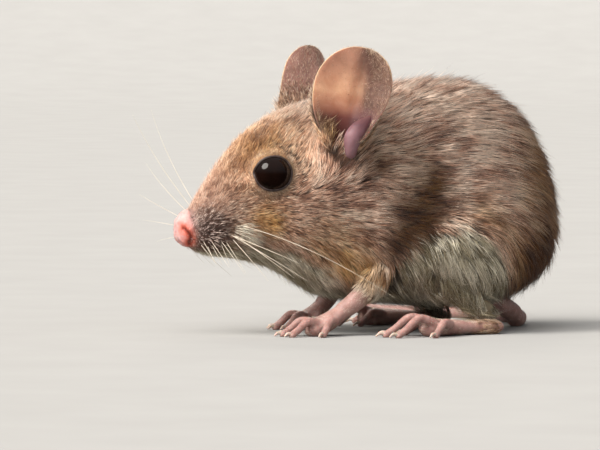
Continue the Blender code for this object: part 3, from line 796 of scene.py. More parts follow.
def ear_hairs(side, row, rng):
    """One row of an ear's hairs: courses, roots' normals, widths, colour facts and markings."""
    face, turn_low, turn_high, low, high, density, _, _ = row
    speckled = face == -1 and turn_low > 0  # the hollow's rear
    tuft = face == -1 and high < 0.3  # the long hairs at its foot
    shaded_front_edge = face == 1 and turn_high < 0
    area = (high - low) * np.linalg.norm(EAR_TOP - EAR_BASE) * (turn_high - turn_low) * EAR_HALF_WIDTH
    count = int(area * density)
    share, turn = rng.uniform(low, high, count), rng.uniform(turn_low, turn_high, count)
    risen = (share - low) / (high - low)
    thinner = 0.94 * risen**1.3 * (high < 0.65) + 0.95 * speckled * smoothstep(0.5, 0.08, turn)
    thinner = np.maximum(thinner, tuft * smoothstep(-0.75, -0.3, turn))
    thinner = np.maximum(thinner, speckled * smoothstep(0.27, 0.22, share) * smoothstep(0.75, 0.6, turn))
    keep = rng.random(count) < 1 - thinner
    share, turn, risen = share[keep], turn[keep], risen[keep]
    path, normal, length, here = ear_courses(side, row, share, turn, risen, rng)

    furred = np.clip(1.25 - share / 0.4, 0, 1) * (face == 1 or turn_low < 0)
    clouds = noise(here, 0.5, 82)
    tone = rng.normal(0.45 - 0.09 * speckled, 0.34, len(share)) + 0.2 * clouds + 0.1 * furred
    golden = tuft * (rng.random(len(share)) < 0.25)
    if tuft:
        tone = np.where(golden, 0.95, 0.1) + 0.1 * clouds
    tone = np.clip(tone, 0, 1)
    furred = furred * (turn_low < 0.6)
    # the hairs over the ear's front edge are darkened and less warm: painted shade on the ear's lower front
    tone = np.clip(tone - 0.15 * shaded_front_edge + 0.3 * shaded_front_edge * rng.normal(0, 1, len(share)), 0, 1)
    white = 0.32 * (1 - furred)
    dark = (0.3 * (1 - furred) + (0.3 if tuft or shaded_front_edge else 0.1) * furred) * (1 - golden)
    warm = (0.42 - 0.2 * shaded_front_edge + 0.4 * golden) * furred
    root_dark, tip_dark = 0.3 + 0.3 * furred, (rng.random(len(share)) < 0.12) * 1.0
    width = np.interp(length, (0.3, 2.8), (0.045, 0.11)) * rng.uniform(0.8, 1.2, len(share))
    facts, marks = (tone, root_dark, tip_dark), (white, dark, warm, 0 * furred)
    return path, normal, width, np.stack(facts, axis=1), np.stack(marks, axis=1)


def ear_courses(side, row, share, turn, risen, rng):
    """Courses of a row's hairs from root to tip, with their roots' normals, lengths and places."""
    face, turn_low, turn_high, _, _, _, (long, short), lift = row
    count, depth = len(share), np.full(len(share), face * 0.2)
    here = ear_places(side, share, turn, depth)
    up = unit(ear_places(side, share + 0.01, turn, depth) - here)
    out = unit(ear_places(side, share, turn + 0.02, depth) - here)
    normal = unit(ear_places(side, share, turn, depth + face * 0.2) - here)
    if face == 1 and turn_high < 0:
        sideways = -0.1
    else:
        sideways = 0.55 * np.sign(turn) if turn_low > 0 or turn_high > 0.5 else 0.6
    sideways = sideways + 0.45 * rng.normal(0, 1, count) + 0.45 * noise(here, 0.9, 81)
    lie = unit(up + out * sideways[:, None])
    length = (long + (short - long) * risen) * rng.uniform(0.55, 1.2, count)
    rise = lift * rng.uniform(0.6, 1.5, count) + 0.25 * rng.random(count) ** 6
    middle = here + lie * (length * 0.5)[:, None] + normal * (rise * 0.75)[:, None]
    tip = here + lie * length[:, None] + normal * rise[:, None]
    root = here - normal * 0.1
    stations = (root, middle, tip) if long > 1.5 else (root, tip)
    return np.stack(stations, axis=1), normal, length, here


# ---- eyes -----------------------------------------------------------------------------------------------
EYE_AXIS = np.array((0.985, -0.14, 0.10))
LID_OPENING = np.radians((54.5, 53.0, 69.0, 57.0))  # from the axis to the lids: above, below, front, rear
LID_PROFILE = (  # beyond the opening in degrees, distance from the eye's surface in millimetres
    (-1.6, -0.02), (-1.4, 0.1), (0.0, 0.19), (2.0, 0.22), (4.0, 0.2), (6.0, 0.1), (7.0, -0.1), (4.0, -0.3),
    (0.0, -0.3),
)
CANTHUS_REACH, CANTHUS_TURN, CANTHUS_WIDTH = math.radians(8.0), -0.2, 0.2  # the corner in front
LID_COLUMNS = 96
CORNEA_RISE = 0.08
EYE_ROWS, EYE_COLUMNS = 50, 64
EYE_AHEAD = np.array((0.0, -1.0, -0.12))


def eye_frame(side):
    """The eye's centre, its outward axis, and its ways ahead and up."""
    mirror = np.array((SIDES[side], 1, 1))
    axis = unit(EYE_AXIS * mirror)
    ahead = unit(EYE_AHEAD - np.dot(EYE_AHEAD, axis) * axis)
    return EYE_CENTRE * mirror, axis, ahead, np.cross(ahead, axis) * -SIDES[side]


def eye_ball(side):
    """The ball with its cornea standing a little proud."""
    centre, axis, ahead, up = eye_frame(side)
    made = []
    for a in np.linspace(0, math.pi, EYE_ROWS)[1:-1]:
        radius = EYE_RADIUS + CORNEA_RISE * math.exp(-((a / 0.8) ** 2))
        turns = np.arange(EYE_COLUMNS) * 2 * math.pi / EYE_COLUMNS
        ring = [math.cos(t) * ahead + math.sin(t) * up for t in turns]
        made.append(centre + radius * (math.cos(a) * axis + math.sin(a) * np.array(ring)))
    return rings(made, centre + (EYE_RADIUS + CORNEA_RISE) * axis, centre - EYE_RADIUS * axis)


def lid_opening(turn):
    """The angle from the eye's axis to the lids, at each turn from straight ahead."""
    above, below, front, rear = LID_OPENING
    c, s = np.cos(turn), np.sin(turn)
    tall, wide = np.where(s > 0, above, below), np.where(c > 0, front, rear)
    corner = CANTHUS_REACH * bell(turn - CANTHUS_TURN, CANTHUS_WIDTH)
    return tall + (wide - tall) * np.abs(c) ** 1.6 + corner


def lid_ring(side):
    """Both lids as one rim round the eye, drawn out to a corner in front."""
    centre, axis, ahead, up = eye_frame(side)
    made = []
    for t in np.arange(LID_COLUMNS) * 2 * math.pi / LID_COLUMNS - math.pi:
        c, s = math.cos(t), math.sin(t)
        opening = float(lid_opening(t))
        ring = []
        for beyond, rise in LID_PROFILE:
            a = opening + math.radians(beyond)
            away = math.cos(a) * axis + math.sin(a) * (c * ahead + s * up)
            ring.append(centre + (EYE_RADIUS + rise) * away)
        made.append(ring)
    count = len(LID_PROFILE)
    points = [p for ring in made for p in ring]
    faces = []
    for i in range(LID_COLUMNS):
        n = (i + 1) % LID_COLUMNS
        for j in range(count):
            k = (j + 1) % count
            faces.append((i * count + j, i * count + k, n * count + k, n * count + j))
    return points, faces


# ---- whiskers and claws ---------------------------------------------------------------------------------
WHISKER_RADIUS = 0.055
# root on the pad and tip, for the left; the last figure bows it outwards
LEFT_WHISKERS = (
    ((5.6, -20.9, 16.4), (16.0, -0.6, 5.9), (2.7, 2.4)),
    ((5.4, -21.8, 14.7), (12.2, -12.8, 8.4), 1.6),
    ((5.6, -21.5, 16.3), (8.3, -18.6, 16.3), 0.5),
    ((5.6, -21.5, 16.0), (8.5, -18.3, 15.5), 0.5),
    ((5.6, -21.6, 15.7), (8.3, -18.8, 14.8), 0.5),
    ((5.5, -21.7, 15.4), (7.8, -19.3, 14.2), 0.4),
    ((5.4, -21.9, 15.2), (7.3, -19.7, 13.6), 0.4),
    ((5.2, -22.0, 14.4), (10.0, -18.1, 8.4), 1.4),
    ((5.0, -22.9, 14.0), (8.0, -20.9, 9.5), 0.9),
    ((4.8, -23.6, 13.7), (6.8, -22.9, 10.4), 0.7),
    ((5.3, -21.8, 15.0), (12.6, -15.0, 8.9), 1.6),
    ((4.5, -24.8, 13.3), (6.5, -24.0, 10.6), 0.6),
    ((4.2, -25.4, 13.2), (5.6, -24.9, 11.0), 0.5),
    ((5.2, -22.4, 15.0), (13.5, -14.4, 11.0), 1.6),
    ((4.7, -23.8, 14.4), (8.6, -21.2, 9.3), 1.1),
    ((4.2, -25.0, 14.2), (9.5, -24.0, 10.4), 0.9),
    ((3.8, -25.9, 13.9), (7.0, -25.0, 10.6), 0.6),
    ((3.6, -26.2, 13.4), (5.4, -24.6, 10.8), 0.4),
)
RIGHT_WHISKERS = (
    ((4.8, -24.0, 17.6), (13.0, -31.4, 32.4), 3.0),
    ((5.0, -23.2, 17.6), (15.0, -27.8, 33.0), 3.0),
    ((4.7, -24.4, 17.0), (14.5, -28.8, 25.0), 2.4),
    ((5.6, -21.5, 16.2), (8.4, -18.5, 16.0), 0.5),
    ((5.6, -21.6, 15.8), (8.4, -18.6, 15.0), 0.5),
    ((5.5, -21.8, 15.4), (7.7, -19.4, 14.0), 0.4),
    ((4.5, -24.9, 16.4), (13.5, -30.2, 20.4), 2.0),
    ((4.3, -25.3, 15.6), (12.5, -30.0, 16.6), 1.6),
    ((4.0, -25.7, 14.6), (10.0, -28.8, 13.4), 1.0),
    ((5.2, -22.8, 14.6), (17.0, -4.0, 7.2), 2.6),
    ((5.2, -22.4, 16.0), (20.5, -11.0, 17.0), 2.8),
    ((5.1, -23.4, 13.9), (13.5, -12.0, 8.8), 1.8),
    ((4.9, -24.0, 13.5), (11.0, -16.4, 8.0), 1.5),
    ((4.5, -24.8, 13.3), (9.0, -19.8, 9.6), 1.0),
    ((4.1, -25.5, 13.3), (6.8, -22.2, 10.2), 0.7),
)
FAR_WHISKER_SHARE = 0.62  # the far ones are finer
CLAW_DROP, CLAW_ARCH, CLAW_START, CLAW_FLOOR = 0.34, 0.2, 0.24, 0.02


def whiskers():
    parts = []
    for side, rows, finer in (("left", LEFT_WHISKERS, 1.0), ("right", RIGHT_WHISKERS, FAR_WHISKER_SHARE)):
        mirror = np.array((SIDES[side], 1, 1))
        for root, tip, bow in rows:
            root, tip = np.array(root) * mirror, np.array(tip) * mirror
            outwards, upwards = bow if isinstance(bow, tuple) else (bow, 0.15 * bow)
            middle = root + 0.45 * (tip - root) + (SIDES[side] * outwards, -0.3 * outwards, upwards)
            inner = root + (root - middle) * 0.06
            reach = np.linalg.norm(tip - root)
            thick = WHISKER_RADIUS * finer * min(1.0, 0.45 + reach / 24)
            t = np.linspace(0, 1, 9)[:, None]
            course = inner * (1 - t) ** 2 + middle * 2 * t * (1 - t) + tip * t**2
            parts.append(tube(course, (thick, thick * 0.75, thick * 0.25), 6, 1.0, 22))
    return together(parts)


def claws():
    parts = []
    for side in SIDES:
        for foot, digits, radii, claw in (
            ("fore", FORE_DIGITS, FORE_DIGIT_RADII, FORE_CLAW),
            ("hind", HIND_DIGITS, HIND_DIGIT_RADII, HIND_CLAW),
        ):
            for root, tip, _ in digits:
                root, tip = (np.array(p) for p in placed((root, tip), side, foot))
                forward = unit(tip - root)
                level = unit(forward * (1, 1, 0))
                start = tip + (0, 0, CLAW_START) + level * radii[-1] * 0.35
                end = start + level * (claw + radii[-1] * 0.15) - (0, 0, CLAW_DROP)
                middle = (start + end) / 2 + (0, 0, CLAW_ARCH)
                parts.append(tube((start, middle, end), CLAW_RADII, 10, 1.0, 10))
    points, faces = together(parts)
    return [(x, y, max(z, CLAW_FLOOR)) for x, y, z in points], faces


# ---- the coat -------------------------------------------------------------------------------------------
# by place along Y: length, width, hairs to the square millimetre
COAT = np.array((
    (-29.0, 0.3, 0.05, 30.0),
    (-27.5, 0.45, 0.055, 95.0),
    (-26.0, 0.7, 0.065, 115.0),
    (-23.0, 1.15, 0.08, 110.0),
    (-20.5, 1.45, 0.09, 92.0),
    (-19.0, 1.8, 0.095, 70.0),
    (-13.0, 2.4, 0.105, 58.0),
    (-7.0, 3.1, 0.115, 48.0),
    (0.0, 4.0, 0.125, 38.0),
    (8.0, 4.8, 0.14, 29.0),
    (20.0, 5.2, 0.15, 22.0),
    (31.0, 5.0, 0.15, 21.0),
))
COAT_FULLNESS = 0.93  # scales the number of hairs
SPIKE_BELOW = 1.35  # hairs shorter than this are straight
GUIDE_SHARE = 0.085  # guides to hairs
GUIDE_STEPS = 3
HAIR_FLATNESS = 0.6
HAIR_STATIONS = np.array((0.0, 0.5, 1.0))
NEAR_GUIDES = 4  # a hair follows one of the nearest few
LONG_SHARE, PROUD_SHARE = 0.04, (0.17, 0.05)  # hairs that are longer, and that stand up: in front and behind
CLUMPS = ((-29, 0.1), (-20, 0.2), (-8, 0.4), (6, 0.55))  # how closely locks draw together, by place along Y
STRAY = 0.05  # how far tips wander, to a hair's length
ROOT_DEPTH, LOWEST_HAIR = 0.12, 0.03
LIMB_COAT = {  # length, width, hairs to the square millimetre, depth
    "paw": (0.7, 0.045, 12.0, 0.12),
    "foot": (0.8, 0.045, 16.0, 0.13),
    "finger": (0.5, 0.045, 6.0, 0.08),
    "toe": (0.5, 0.045, 5.0, 0.08),
    "tail": (0.8, 0.05, 5.0, 0.14),
}
# by place along Y, how steeply the hairs rise on the upper, middle and lower body, and how far they spread
COAT_RISE = (
    ((-29, 0.4), (-22, 1.0), (-15, 1.5), (-8, 1.0), (0, 0.1), (12, -0.05), (22, -0.6), (31, -1.4)),
    ((-29, 0.1), (-22, 0.3), (-15, 0.12), (-8, 0.0), (0, -0.15), (12, -0.12), (22, -0.5), (31, -1.4)),
    (
        (-29, -0.1), (-22, -0.3), (-15, -0.35), (-8, -0.7), (0, -1.5), (5, -2.6), (16, -3.4), (22, -2.6),
        (31, -2.0),
    ),
    ((-29, 0.35), (-22, 0.2), (-10, 0.1), (0, 0.12), (31, 0.15)),
)
LIMB_REACH = 1.35  # how far out a limb's own coat goes, in its radii
# length, width, hairs to the square millimetre, depth, and what is added to these, or taken from them
HEEL_COAT = (0.8, 0.045, 16.0, 0.13), (0.8, 0.02, 32.0, 0.22)  # in front, and more towards the heel
ARM_COAT = (3.0, 0.11, 48.0, 0.9), (2.4, 0.06, 22.0, 0.8)  # at the elbow, and less towards the wrist
SHANK_DEPTH = 1.6
BARE_SOLE = 0.12  # no hairs below this height
NOSE_BARE, NOSE_BARE_RADII = (0.6, -28.9, 15.0), (1.4, 1.45, 1.6)
PAD_FULL, PAD_FULL_REACH = (4.2, -24.6, 15.4), 2.6  # the thicker hairs of the whisker pad
PAD_LOCKS, PAD_LOCKS_REACH = (4.0, -24.2, 15.6), 3.0  # where they lie in locks
EAR_MIDDLE = 2.0  # the hollow's middle, in front of the ear's base
CREST_HEIGHT, CREST_Y, CREST_REACH = 0.5, 9, 8  # the fuller coat along the top of the back
HEEL_COAT_TO = 0.4  # share of the hind foot's length that wears longer hair
PATCH = 0.003  # a hair's patch on the unwrap


def level_at(points):
    """Height as a share of the body's own, from its bottom to its top at that place."""
    rows = sections_at(points[:, 1])
    return (points[:, 2] - rows[:, 1]) / (rows[:, 0] - rows[:, 1])


def lie_of_coat(points, normals):
    """The way the hairs point: back from the nose, round eyes and ears, down the flanks and the rump."""
    x, y, z = points.T
    level = np.clip(level_at(points), 0, 1)
    upper, middle, lower, spread = (np.interp(y, *np.array(rows).T) for rows in COAT_RISE)
    high, low = smoothstep(0.45, 0.8, level), smoothstep(0.45, 0.1, level)
    rise = middle + (upper - middle) * high + (lower - middle) * low
    side = np.sign(x) * np.clip(np.abs(x) / 4, 0, 1)
    lie = unit(np.stack([side * spread * (1 - low), np.ones_like(y), rise], axis=1))

    place = mirrored(points)
    mirror = np.stack([np.where(x < 0, -1.0, 1.0), np.ones_like(x), np.ones_like(x)], axis=1)
    away = place - EYE_CENTRE
    distance = np.linalg.norm(away, axis=1)
    axis = unit(EYE_AXIS)
    radial = unit(away - (away @ axis)[:, None] * axis)
    near = 1 - smoothstep(EYE_RADIUS + 0.2, EYE_RADIUS + 2.0, distance)
    inward = np.maximum(0.35 - np.sum(lie * mirror * radial, axis=1), 0)
    lie = lie + radial * mirror * (inward * near)[:, None]

    along, radial = from_ear(place, EAR_MIDDLE)
    distance = np.linalg.norm(radial, axis=1)
    radial = radial / np.maximum(distance, 1e-6)[:, None]
    near = (1 - smoothstep(3.2, 6.0, distance)) * smoothstep(-6, -2, along)
    inward = np.maximum(0.15 - np.sum(lie * mirror * radial, axis=1), 0)
    lie = lie + radial * mirror * (inward * near)[:, None]
    lie = lie + ear_frame("left")[1] * mirror * (0.8 * near)[:, None]

    ratio, kind, tangent, share = near_line(points)
    names = np.where(ratio < LIMB_REACH, LINE_KINDS[kind], "none")
    down = unit(np.stack([0.25 * np.sign(x), 0.3 + 0 * y, -1 + 0 * z], axis=1))
    along_arm = unit(tangent + down * (0.5 * (1 - share))[:, None])
    close = 1 - smoothstep(1.0, 1.9, ratio)
    by_arm = close * (LINE_KINDS[kind] == "arm") * smoothstep(-9.5, -6.5, -z)
    lie = unit(lie + (along_arm - lie) * np.maximum(by_arm, (names == "arm") * 1.0)[:, None])
    by_shank = close * (LINE_KINDS[kind] == "shank")
    lie = unit(lie + (down - lie) * np.maximum(by_shank, (names == "shank") * 1.0)[:, None])
    lie = np.where(np.isin(names, list(LIMB_COAT))[:, None], tangent, lie)
    return unit(lie - np.sum(lie * normals, axis=1)[:, None] * normals)


def coat_facts(points):
    """Length, width, density and depth of the coat at each place, and the number of its limb or -1."""
    y, z = points[:, 1], points[:, 2]
    length, width, density = (np.interp(y, COAT[:, 0], COAT[:, k]) for k in (1, 2, 3))
    depth = coat_depth(points) + CREST_HEIGHT * (bell(y - CREST_Y, CREST_REACH) * smoothstep(28, 34, z))
    place = mirrored(points)
    eye = apart(place, EYE_CENTRE)
    close = 1 - smoothstep(EYE_RADIUS + 0.2, EYE_RADIUS + 2.0, eye)
    length = length * (1 - 0.7 * close)
    angle = np.arccos(np.clip((place - EYE_CENTRE) @ unit(EYE_AXIS) / eye, -1, 1))
    _, _, ahead, up = eye_frame("left")
    opening = lid_opening(np.arctan2((place - EYE_CENTRE) @ up, (place - EYE_CENTRE) @ ahead))
    density = density * ((eye > EYE_RADIUS + 0.05) & ((angle > opening + 0.06) | (eye > EYE_RADIUS + 1.0)))
    fan = bell(apart(place, PAD_FAN), 1.5, 4)
    length, depth = length * (1 + 1.2 * fan), depth + 0.6 * fan
    front = np.linalg.norm((place - NOSE_BARE) / NOSE_BARE_RADII, axis=1)
    density = density * smoothstep(0.7, 1.25, front + 0.3 * noise(points, 0.5, 51))
    along, out = from_ear(place, EAR_MIDDLE + 0.2)
    in_ear = (np.linalg.norm(out, axis=1) < 2.3) & (along > -4)
    density = density * np.where(in_ear, 0.15, 1.0)
    under = smoothstep(0.3, 0.05, level_at(points))
    length, density = length * (1 + 0.35 * under), density * (1 - 0.55 * under)
    pad = bell(apart(place, PAD_FULL), PAD_FULL_REACH)
    length, width, depth = length * (1 + 0.05 * pad), width * (1 + 0.55 * pad), depth + 0.38 * pad
    density = density * (1 - 0.4 * pad)
    facts = np.stack([length, width, density, depth], axis=1)
    limb = limb_facts(points, facts)
    facts[:, 2] *= z > BARE_SOLE
    return (*facts.T, limb)


def limb_facts(points, facts):
    """Puts the limbs' and tail's own coat into the facts. Gives each place the number of its limb, or -1."""
    ratio, kind, _, share = near_line(points)
    names = np.where(ratio < LIMB_REACH, LINE_KINDS[kind], "none")
    for name, own in LIMB_COAT.items():
        facts[names == name] = own
    heel, arm = (names == "foot") & (share < HEEL_COAT_TO), names == "arm"
    bushy = 1 - smoothstep(0.1, HEEL_COAT_TO, share[heel])[:, None]
    facts[heel] = np.array(HEEL_COAT[0]) + np.array(HEEL_COAT[1]) * bushy
    down = smoothstep(0.15, 0.62, share[arm])[:, None]
    facts[arm] = np.array(ARM_COAT[0]) - np.array(ARM_COAT[1]) * down
    shank = names == "shank"
    facts[shank, 3] = np.minimum(facts[shank, 3], SHANK_DEPTH)
    return np.where(np.isin(names, list(LIMB_COAT)) | arm, kind, -1)


def scatter(points, triangles, normals, density, rng):
    """Random places on the triangles, so many to the square millimetre."""
    a, b, c = (points[triangles[:, k]] for k in range(3))
    area = np.linalg.norm(np.cross(b - a, c - a), axis=1) / 2
    count = rng.poisson(density * area)
    face = np.repeat(np.arange(len(count)), count)
    u, v = rng.random((2, len(face)))
    over = u + v > 1
    u[over], v[over] = 1 - u[over], 1 - v[over]
    u, v = u[:, None], v[:, None]
    found = a[face] + u * (b - a)[face] + v * (c - a)[face]
    corners = [normals[triangles[face, k]] for k in range(3)]
    return found, unit(corners[0] * (1 - u - v) + corners[1] * u + corners[2] * v)


def walk(tree, roots, normals, rng):
    """Guides: each creeps over the skin the way the coat lies, and rises to the coat's depth at its tip."""
    length, _, _, depth, _ = coat_facts(roots)
    length = length * (1 + 0.18 * noise(roots, 1.7, 61)) * rng.uniform(0.85, 1.1, len(roots))
    lift = depth * rng.uniform(0.75, 1.05, len(roots))
    swing = 0.22 * noise(roots, 3.2, 62) + 0.2 * noise(roots, 1.1, 63)
    ground, up = roots.copy(), normals.copy()
    path = [roots]
    for step in range(1, GUIDE_STEPS + 1):
        lie = lie_of_coat(ground, up)
        lie = unit(lie + np.cross(up, lie) * swing[:, None])
        target = ground + lie * (length / GUIDE_STEPS)[:, None]
        for i, place in enumerate(target):
            where, normal, _, _ = tree.find_nearest(place)
            ground[i], up[i] = where, normal
        path.append(ground + up * (lift * (step / GUIDE_STEPS) ** 0.8)[:, None])
    return np.stack(path, axis=1)


def make_coat(skin_mesh, rng):
    """All hairs of the body: their courses from root to tip and what colours them."""
    co, normals = points_of(skin_mesh), normals_of(skin_mesh)
    triangles = triangles_of(skin_mesh)
    tree = BVHTree.FromPolygons([Vector(p) for p in co], triangles.tolist())
    density = coat_facts(co[triangles].mean(axis=1))[2]
    roots, root_normals = scatter(co, triangles, normals, density * COAT_FULLNESS, rng)
    guide_roots, guide_normals = scatter(co, triangles, normals, density * GUIDE_SHARE, rng)
    guides = walk(tree, guide_roots, guide_normals, rng)
    length, width, _, _, limb = coat_facts(roots)
    mine, theirs = (roots, root_normals, limb), (guide_roots, guide_normals, coat_facts(guide_roots)[-1])
    owner = owners(mine, theirs, rng)

    _, y, z = roots.T
    extent = rng.uniform(0.72, 1.08, len(roots)) * np.where(rng.random(len(roots)) < LONG_SHARE, 1.18, 1.0)
    clump = np.interp(y, *np.array(CLUMPS).T) * rng.uniform(0.4, 1.3, len(roots))
    clump = clump + (0.5 - clump) * bell(apart(mirrored(roots), PAD_LOCKS), PAD_LOCKS_REACH)
    clump = clump * (1 - 0.5 * smoothstep(31, 35, z) * smoothstep(-4, 2, y))
    stray = rng.normal(0, 1, (len(roots), 3)) * (STRAY * length)[:, None]
    offset = roots - guides[owner, 0]
    path = []
    for s in HAIR_STATIONS:
        at = np.minimum(s * extent, 1.0) * GUIDE_STEPS
        i = np.minimum(at.astype(int), GUIDE_STEPS - 1)
        f = (at - i)[:, None]
        beyond = np.maximum(s * extent - 1.0, 0.0)[:, None]
        last = guides[owner, -1] - guides[owner, -2]
        guide = guides[owner, i] * (1 - f) + guides[owner, i + 1] * f + last * beyond * GUIDE_STEPS
        path.append(guide + offset * (1 - np.clip(clump, 0, 0.9) * s**1.3)[:, None] + stray * s * s)
    path = np.stack(path, axis=1)
    proud = (rng.random(len(roots)) < np.interp(y, (-5, 8), PROUD_SHARE)) * (limb < 0)
    raised = proud * rng.uniform(0.1, 0.55, len(roots)) * np.sqrt(length)
    path += root_normals[:, None] * (raised[:, None] * HAIR_STATIONS**2)[..., None]
    path[:, 0] -= root_normals * ROOT_DEPTH
    path[:, :, 2] = np.maximum(path[:, :, 2], LOWEST_HAIR)
    width = width * rng.uniform(0.8, 1.2, len(roots)) * (1 - 0.4 * proud)
    lock_tone = rng.normal(0, 1, len(guide_roots))[owner]
    return path, roots, root_normals, width, limb, lock_tone


def owners(hairs, guides, rng):
    """For each hair a guide near it, on skin that faces the same way and on the same limb."""
    finder = KDTree(len(guides[0]))
    for i, place in enumerate(guides[0]):
        finder.insert(place, i)
    finder.balance()
    picks = rng.random(len(hairs[0]))
    found = np.zeros(len(hairs[0]), int)
    for i, (place, normal, limb) in enumerate(zip(*hairs)):
        near = [n for _, n, _ in finder.find_n(place, NEAR_GUIDES)]
        good = [n for n in near if guides[1][n] @ normal > 0.5 and guides[2][n] == limb]
        found[i] = good[int(picks[i] ** 2.5 * len(good))] if good else near[0]
    return found


def triangles_of(mesh):
    """The mesh's triangles, as numbers of their corners."""
    mesh.calc_loop_triangles()
    found = np.zeros(len(mesh.loop_triangles) * 3, np.int32)
    mesh.loop_triangles.foreach_get("vertices", found)
    return found.reshape(-1, 3)


HAIR_TURNS = np.radians((90.0, 210.0, 330.0))
SIDE_STRIP = 0.42  # width of each side's strip on a hair's patch
ROOT_STRIP = ((-0.15, 0.0), (0.15, 0.0), (0.0, 0.12))


def hair_block(path, normals, width, hair, marks, unwrap):
    """Closed three-sided hairs that taper to a point: points, faces, patches on the unwrap, colour facts."""
    count, stations = path.shape[:2]
    rows = stations - 1
    forward = unit(np.gradient(path, axis=1))[:, :-1]
    side = unit(np.cross(forward, normals[:, None]))
    up = np.cross(side, forward)
    size = width[:, None] / 2 * np.linspace(1.0, 0.8, rows)[None]
    corners = []
    for t in HAIR_TURNS:
        across, above = math.cos(t) * size, math.sin(t) * size * HAIR_FLATNESS
        corners.append(path[:, :-1] + side * across[..., None] + up * above[..., None])
    body = np.stack(corners, axis=2).reshape(count, rows * 3, 3)
    points = np.concatenate([body, path[:, -1:]], axis=1)
    per_hair = rows * 3 + 1
    faces, patch = [], []
    for i in range(rows):
        for j in range(3):
            k = (j + 1) % 3
            low_j, low_k = i * 3 + j, i * 3 + k
            left, right = (j - 1) * SIDE_STRIP, (k - 1) * SIDE_STRIP
            near, far = i / rows, (i + 1) / rows
            if i < rows - 1:
                faces += [(low_k, low_j, low_j + 3), (low_k, low_j + 3, low_k + 3)]
                patch.append(((right, near), (left, near), (left, far)))
                patch.append(((right, near), (left, far), (right, far)))
            else:
                faces.append((low_k, low_j, rows * 3))
                patch.append(((right, near), (left, near), (0.0, 1.0)))
    faces.append((0, 1, 2))
    patch.append(ROOT_STRIP)
    index = np.array(faces)[None] + (np.arange(count) * per_hair)[:, None, None]
    uv = unwrap[:, None, None] + np.array(patch)[None] * PATCH
    facts = np.zeros((count, per_hair, 4))
    facts[:, :, 0] = np.append(np.repeat(np.arange(rows) / rows, 3), 1.0)
    facts[:, :, 1:] = hair[:, None]
    marks = np.repeat(marks[:, None], per_hair, axis=1)
    made = (points, 3), (index, 3), (uv, 2), (facts, 4), (marks, 4)
    return tuple(values.reshape(-1, size) for values, size in made)


def hair_piece(name, blocks, material):
    """One mesh of several blocks of hairs."""
    starts = np.cumsum([0] + [len(block[0]) for block in blocks])
    points = np.concatenate([block[0] for block in blocks])
    index = np.concatenate([block[1] + start for block, start in zip(blocks, starts)]).ravel()
    uv, facts, marks = (np.concatenate([block[k] for block in blocks]) for k in (2, 3, 4))
    mesh = bpy.data.meshes.new(name)
    mesh.vertices.add(len(points))
    mesh.vertices.foreach_set("co", to_world(points).astype(np.float32).ravel())
    mesh.loops.add(len(index))
    mesh.loops.foreach_set("vertex_index", index.astype(np.int32))
    mesh.polygons.add(len(index) // 3)
    mesh.polygons.foreach_set("loop_start", np.arange(0, len(index), 3, dtype=np.int32))
    mesh.update(calc_edges=True)
    mesh.shade_smooth()
    mesh.uv_layers.new(name="OFBake").uv.foreach_set("vector", uv.astype(np.float32).ravel())
    attribute(mesh, "hair", facts)
    attribute(mesh, "marks", marks)
    mesh.materials.append(material)
    obj = linked(name, mesh)
    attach(obj, "root")


def unwrapped(points):
    """Places on an unwrap of the long body: round it and along it, stretched to fill the square."""
    x, y, z = points.T
    rows = sections_at(y)
    middle = (rows[:, 0] + rows[:, 1]) / 2
    turn = (np.arctan2(z - middle, x) + math.pi * 2.5) % (2 * math.pi)
    beyond = np.arctan2(np.hypot(x, z - 16), np.maximum(RUMP_TIP_Y - y, 0.01))
    along = np.minimum(y, RUMP_FULL_Y) + np.where(y > RUMP_FULL_Y, beyond * 8, 0)
    return filled(np.stack([turn, along], axis=1))


def filled(places):
    """Stretches a flat set of places to fill the square, less a margin."""
    low, high = places.min(axis=0), places.max(axis=0)
    return 0.01 + 0.975 * (places - low) / np.maximum(high - low, 1e-9)


def ear_unwrap(side, points):
    """Round the ear and up it."""
    base, up, facing, across, _ = ear_frame(side)
    away = points - base - facing * EAR_MIDDLE
    return np.stack([np.arctan2(away @ across, away @ facing), away @ up], axis=1)


def zone_of(roots, limb):
    """The coat's pieces: a name for each hair."""
    x, y, z = roots.T
    side = np.where(x > 0, "left", "right")
    band = np.select(
        [y < -21.5, y < -14.5, y < -8.0, y < -1.0, y < 7.0, y < 15.0],
        ["muzzle", "face", "cheek", "nape", "shoulder", "flank"],
        "rump",
    )
    name = np.char.add(np.char.add(np.char.add("coat_", band), "_"), side)
    name = np.where(band == "muzzle", "coat_muzzle", name)
    below = (z < 8.0) & (y > -14.5) & (band != "muzzle")
    name = np.where(below, np.char.add("coat_underside_", side), name)
    kinds = LINE_KINDS[limb]
    name = np.where(np.isin(kinds, ("arm", "paw", "foot", "finger", "toe")), "coat_limbs", name)
    return np.where(kinds == "tail", "coat_tail", name)


# ---- materials ------------------------------------------------------------------------------------------
SOFT = (0.3, 0.7)  # where a soft noise goes from its low colour to its high one


def new_node(tree, kind, values=None, **settings):
    node = tree.nodes.new(kind)
    for key, value in settings.items():
        setattr(node, key, value)
    for key, value in (values or {}).items():
        if isinstance(value, bpy.types.NodeSocket):
            tree.links.new(value, node.inputs[key])
        else:
            node.inputs[key].default_value = value
    return node


def mixed(tree, factor, a, b, blend="MIX"):
    """A mix of two colours, each a socket or a colour."""
    a, b = (value if isinstance(value, bpy.types.NodeSocket) else (*value, 1.0) for value in (a, b))
    values = {0: factor, 6: a, 7: b}
    return new_node(tree, "ShaderNodeMix", values, data_type="RGBA", blend_type=blend).outputs[2]


def ramp(tree, value, stops):
    node = new_node(tree, "ShaderNodeValToRGB", {0: value})
    elements = node.color_ramp.elements
    while len(elements) < len(stops):
        elements.new(0.5)
    for element, (place, colour) in zip(elements, stops):
        element.position = place
        element.color = (*colour, 1.0)
    return node.outputs[0]


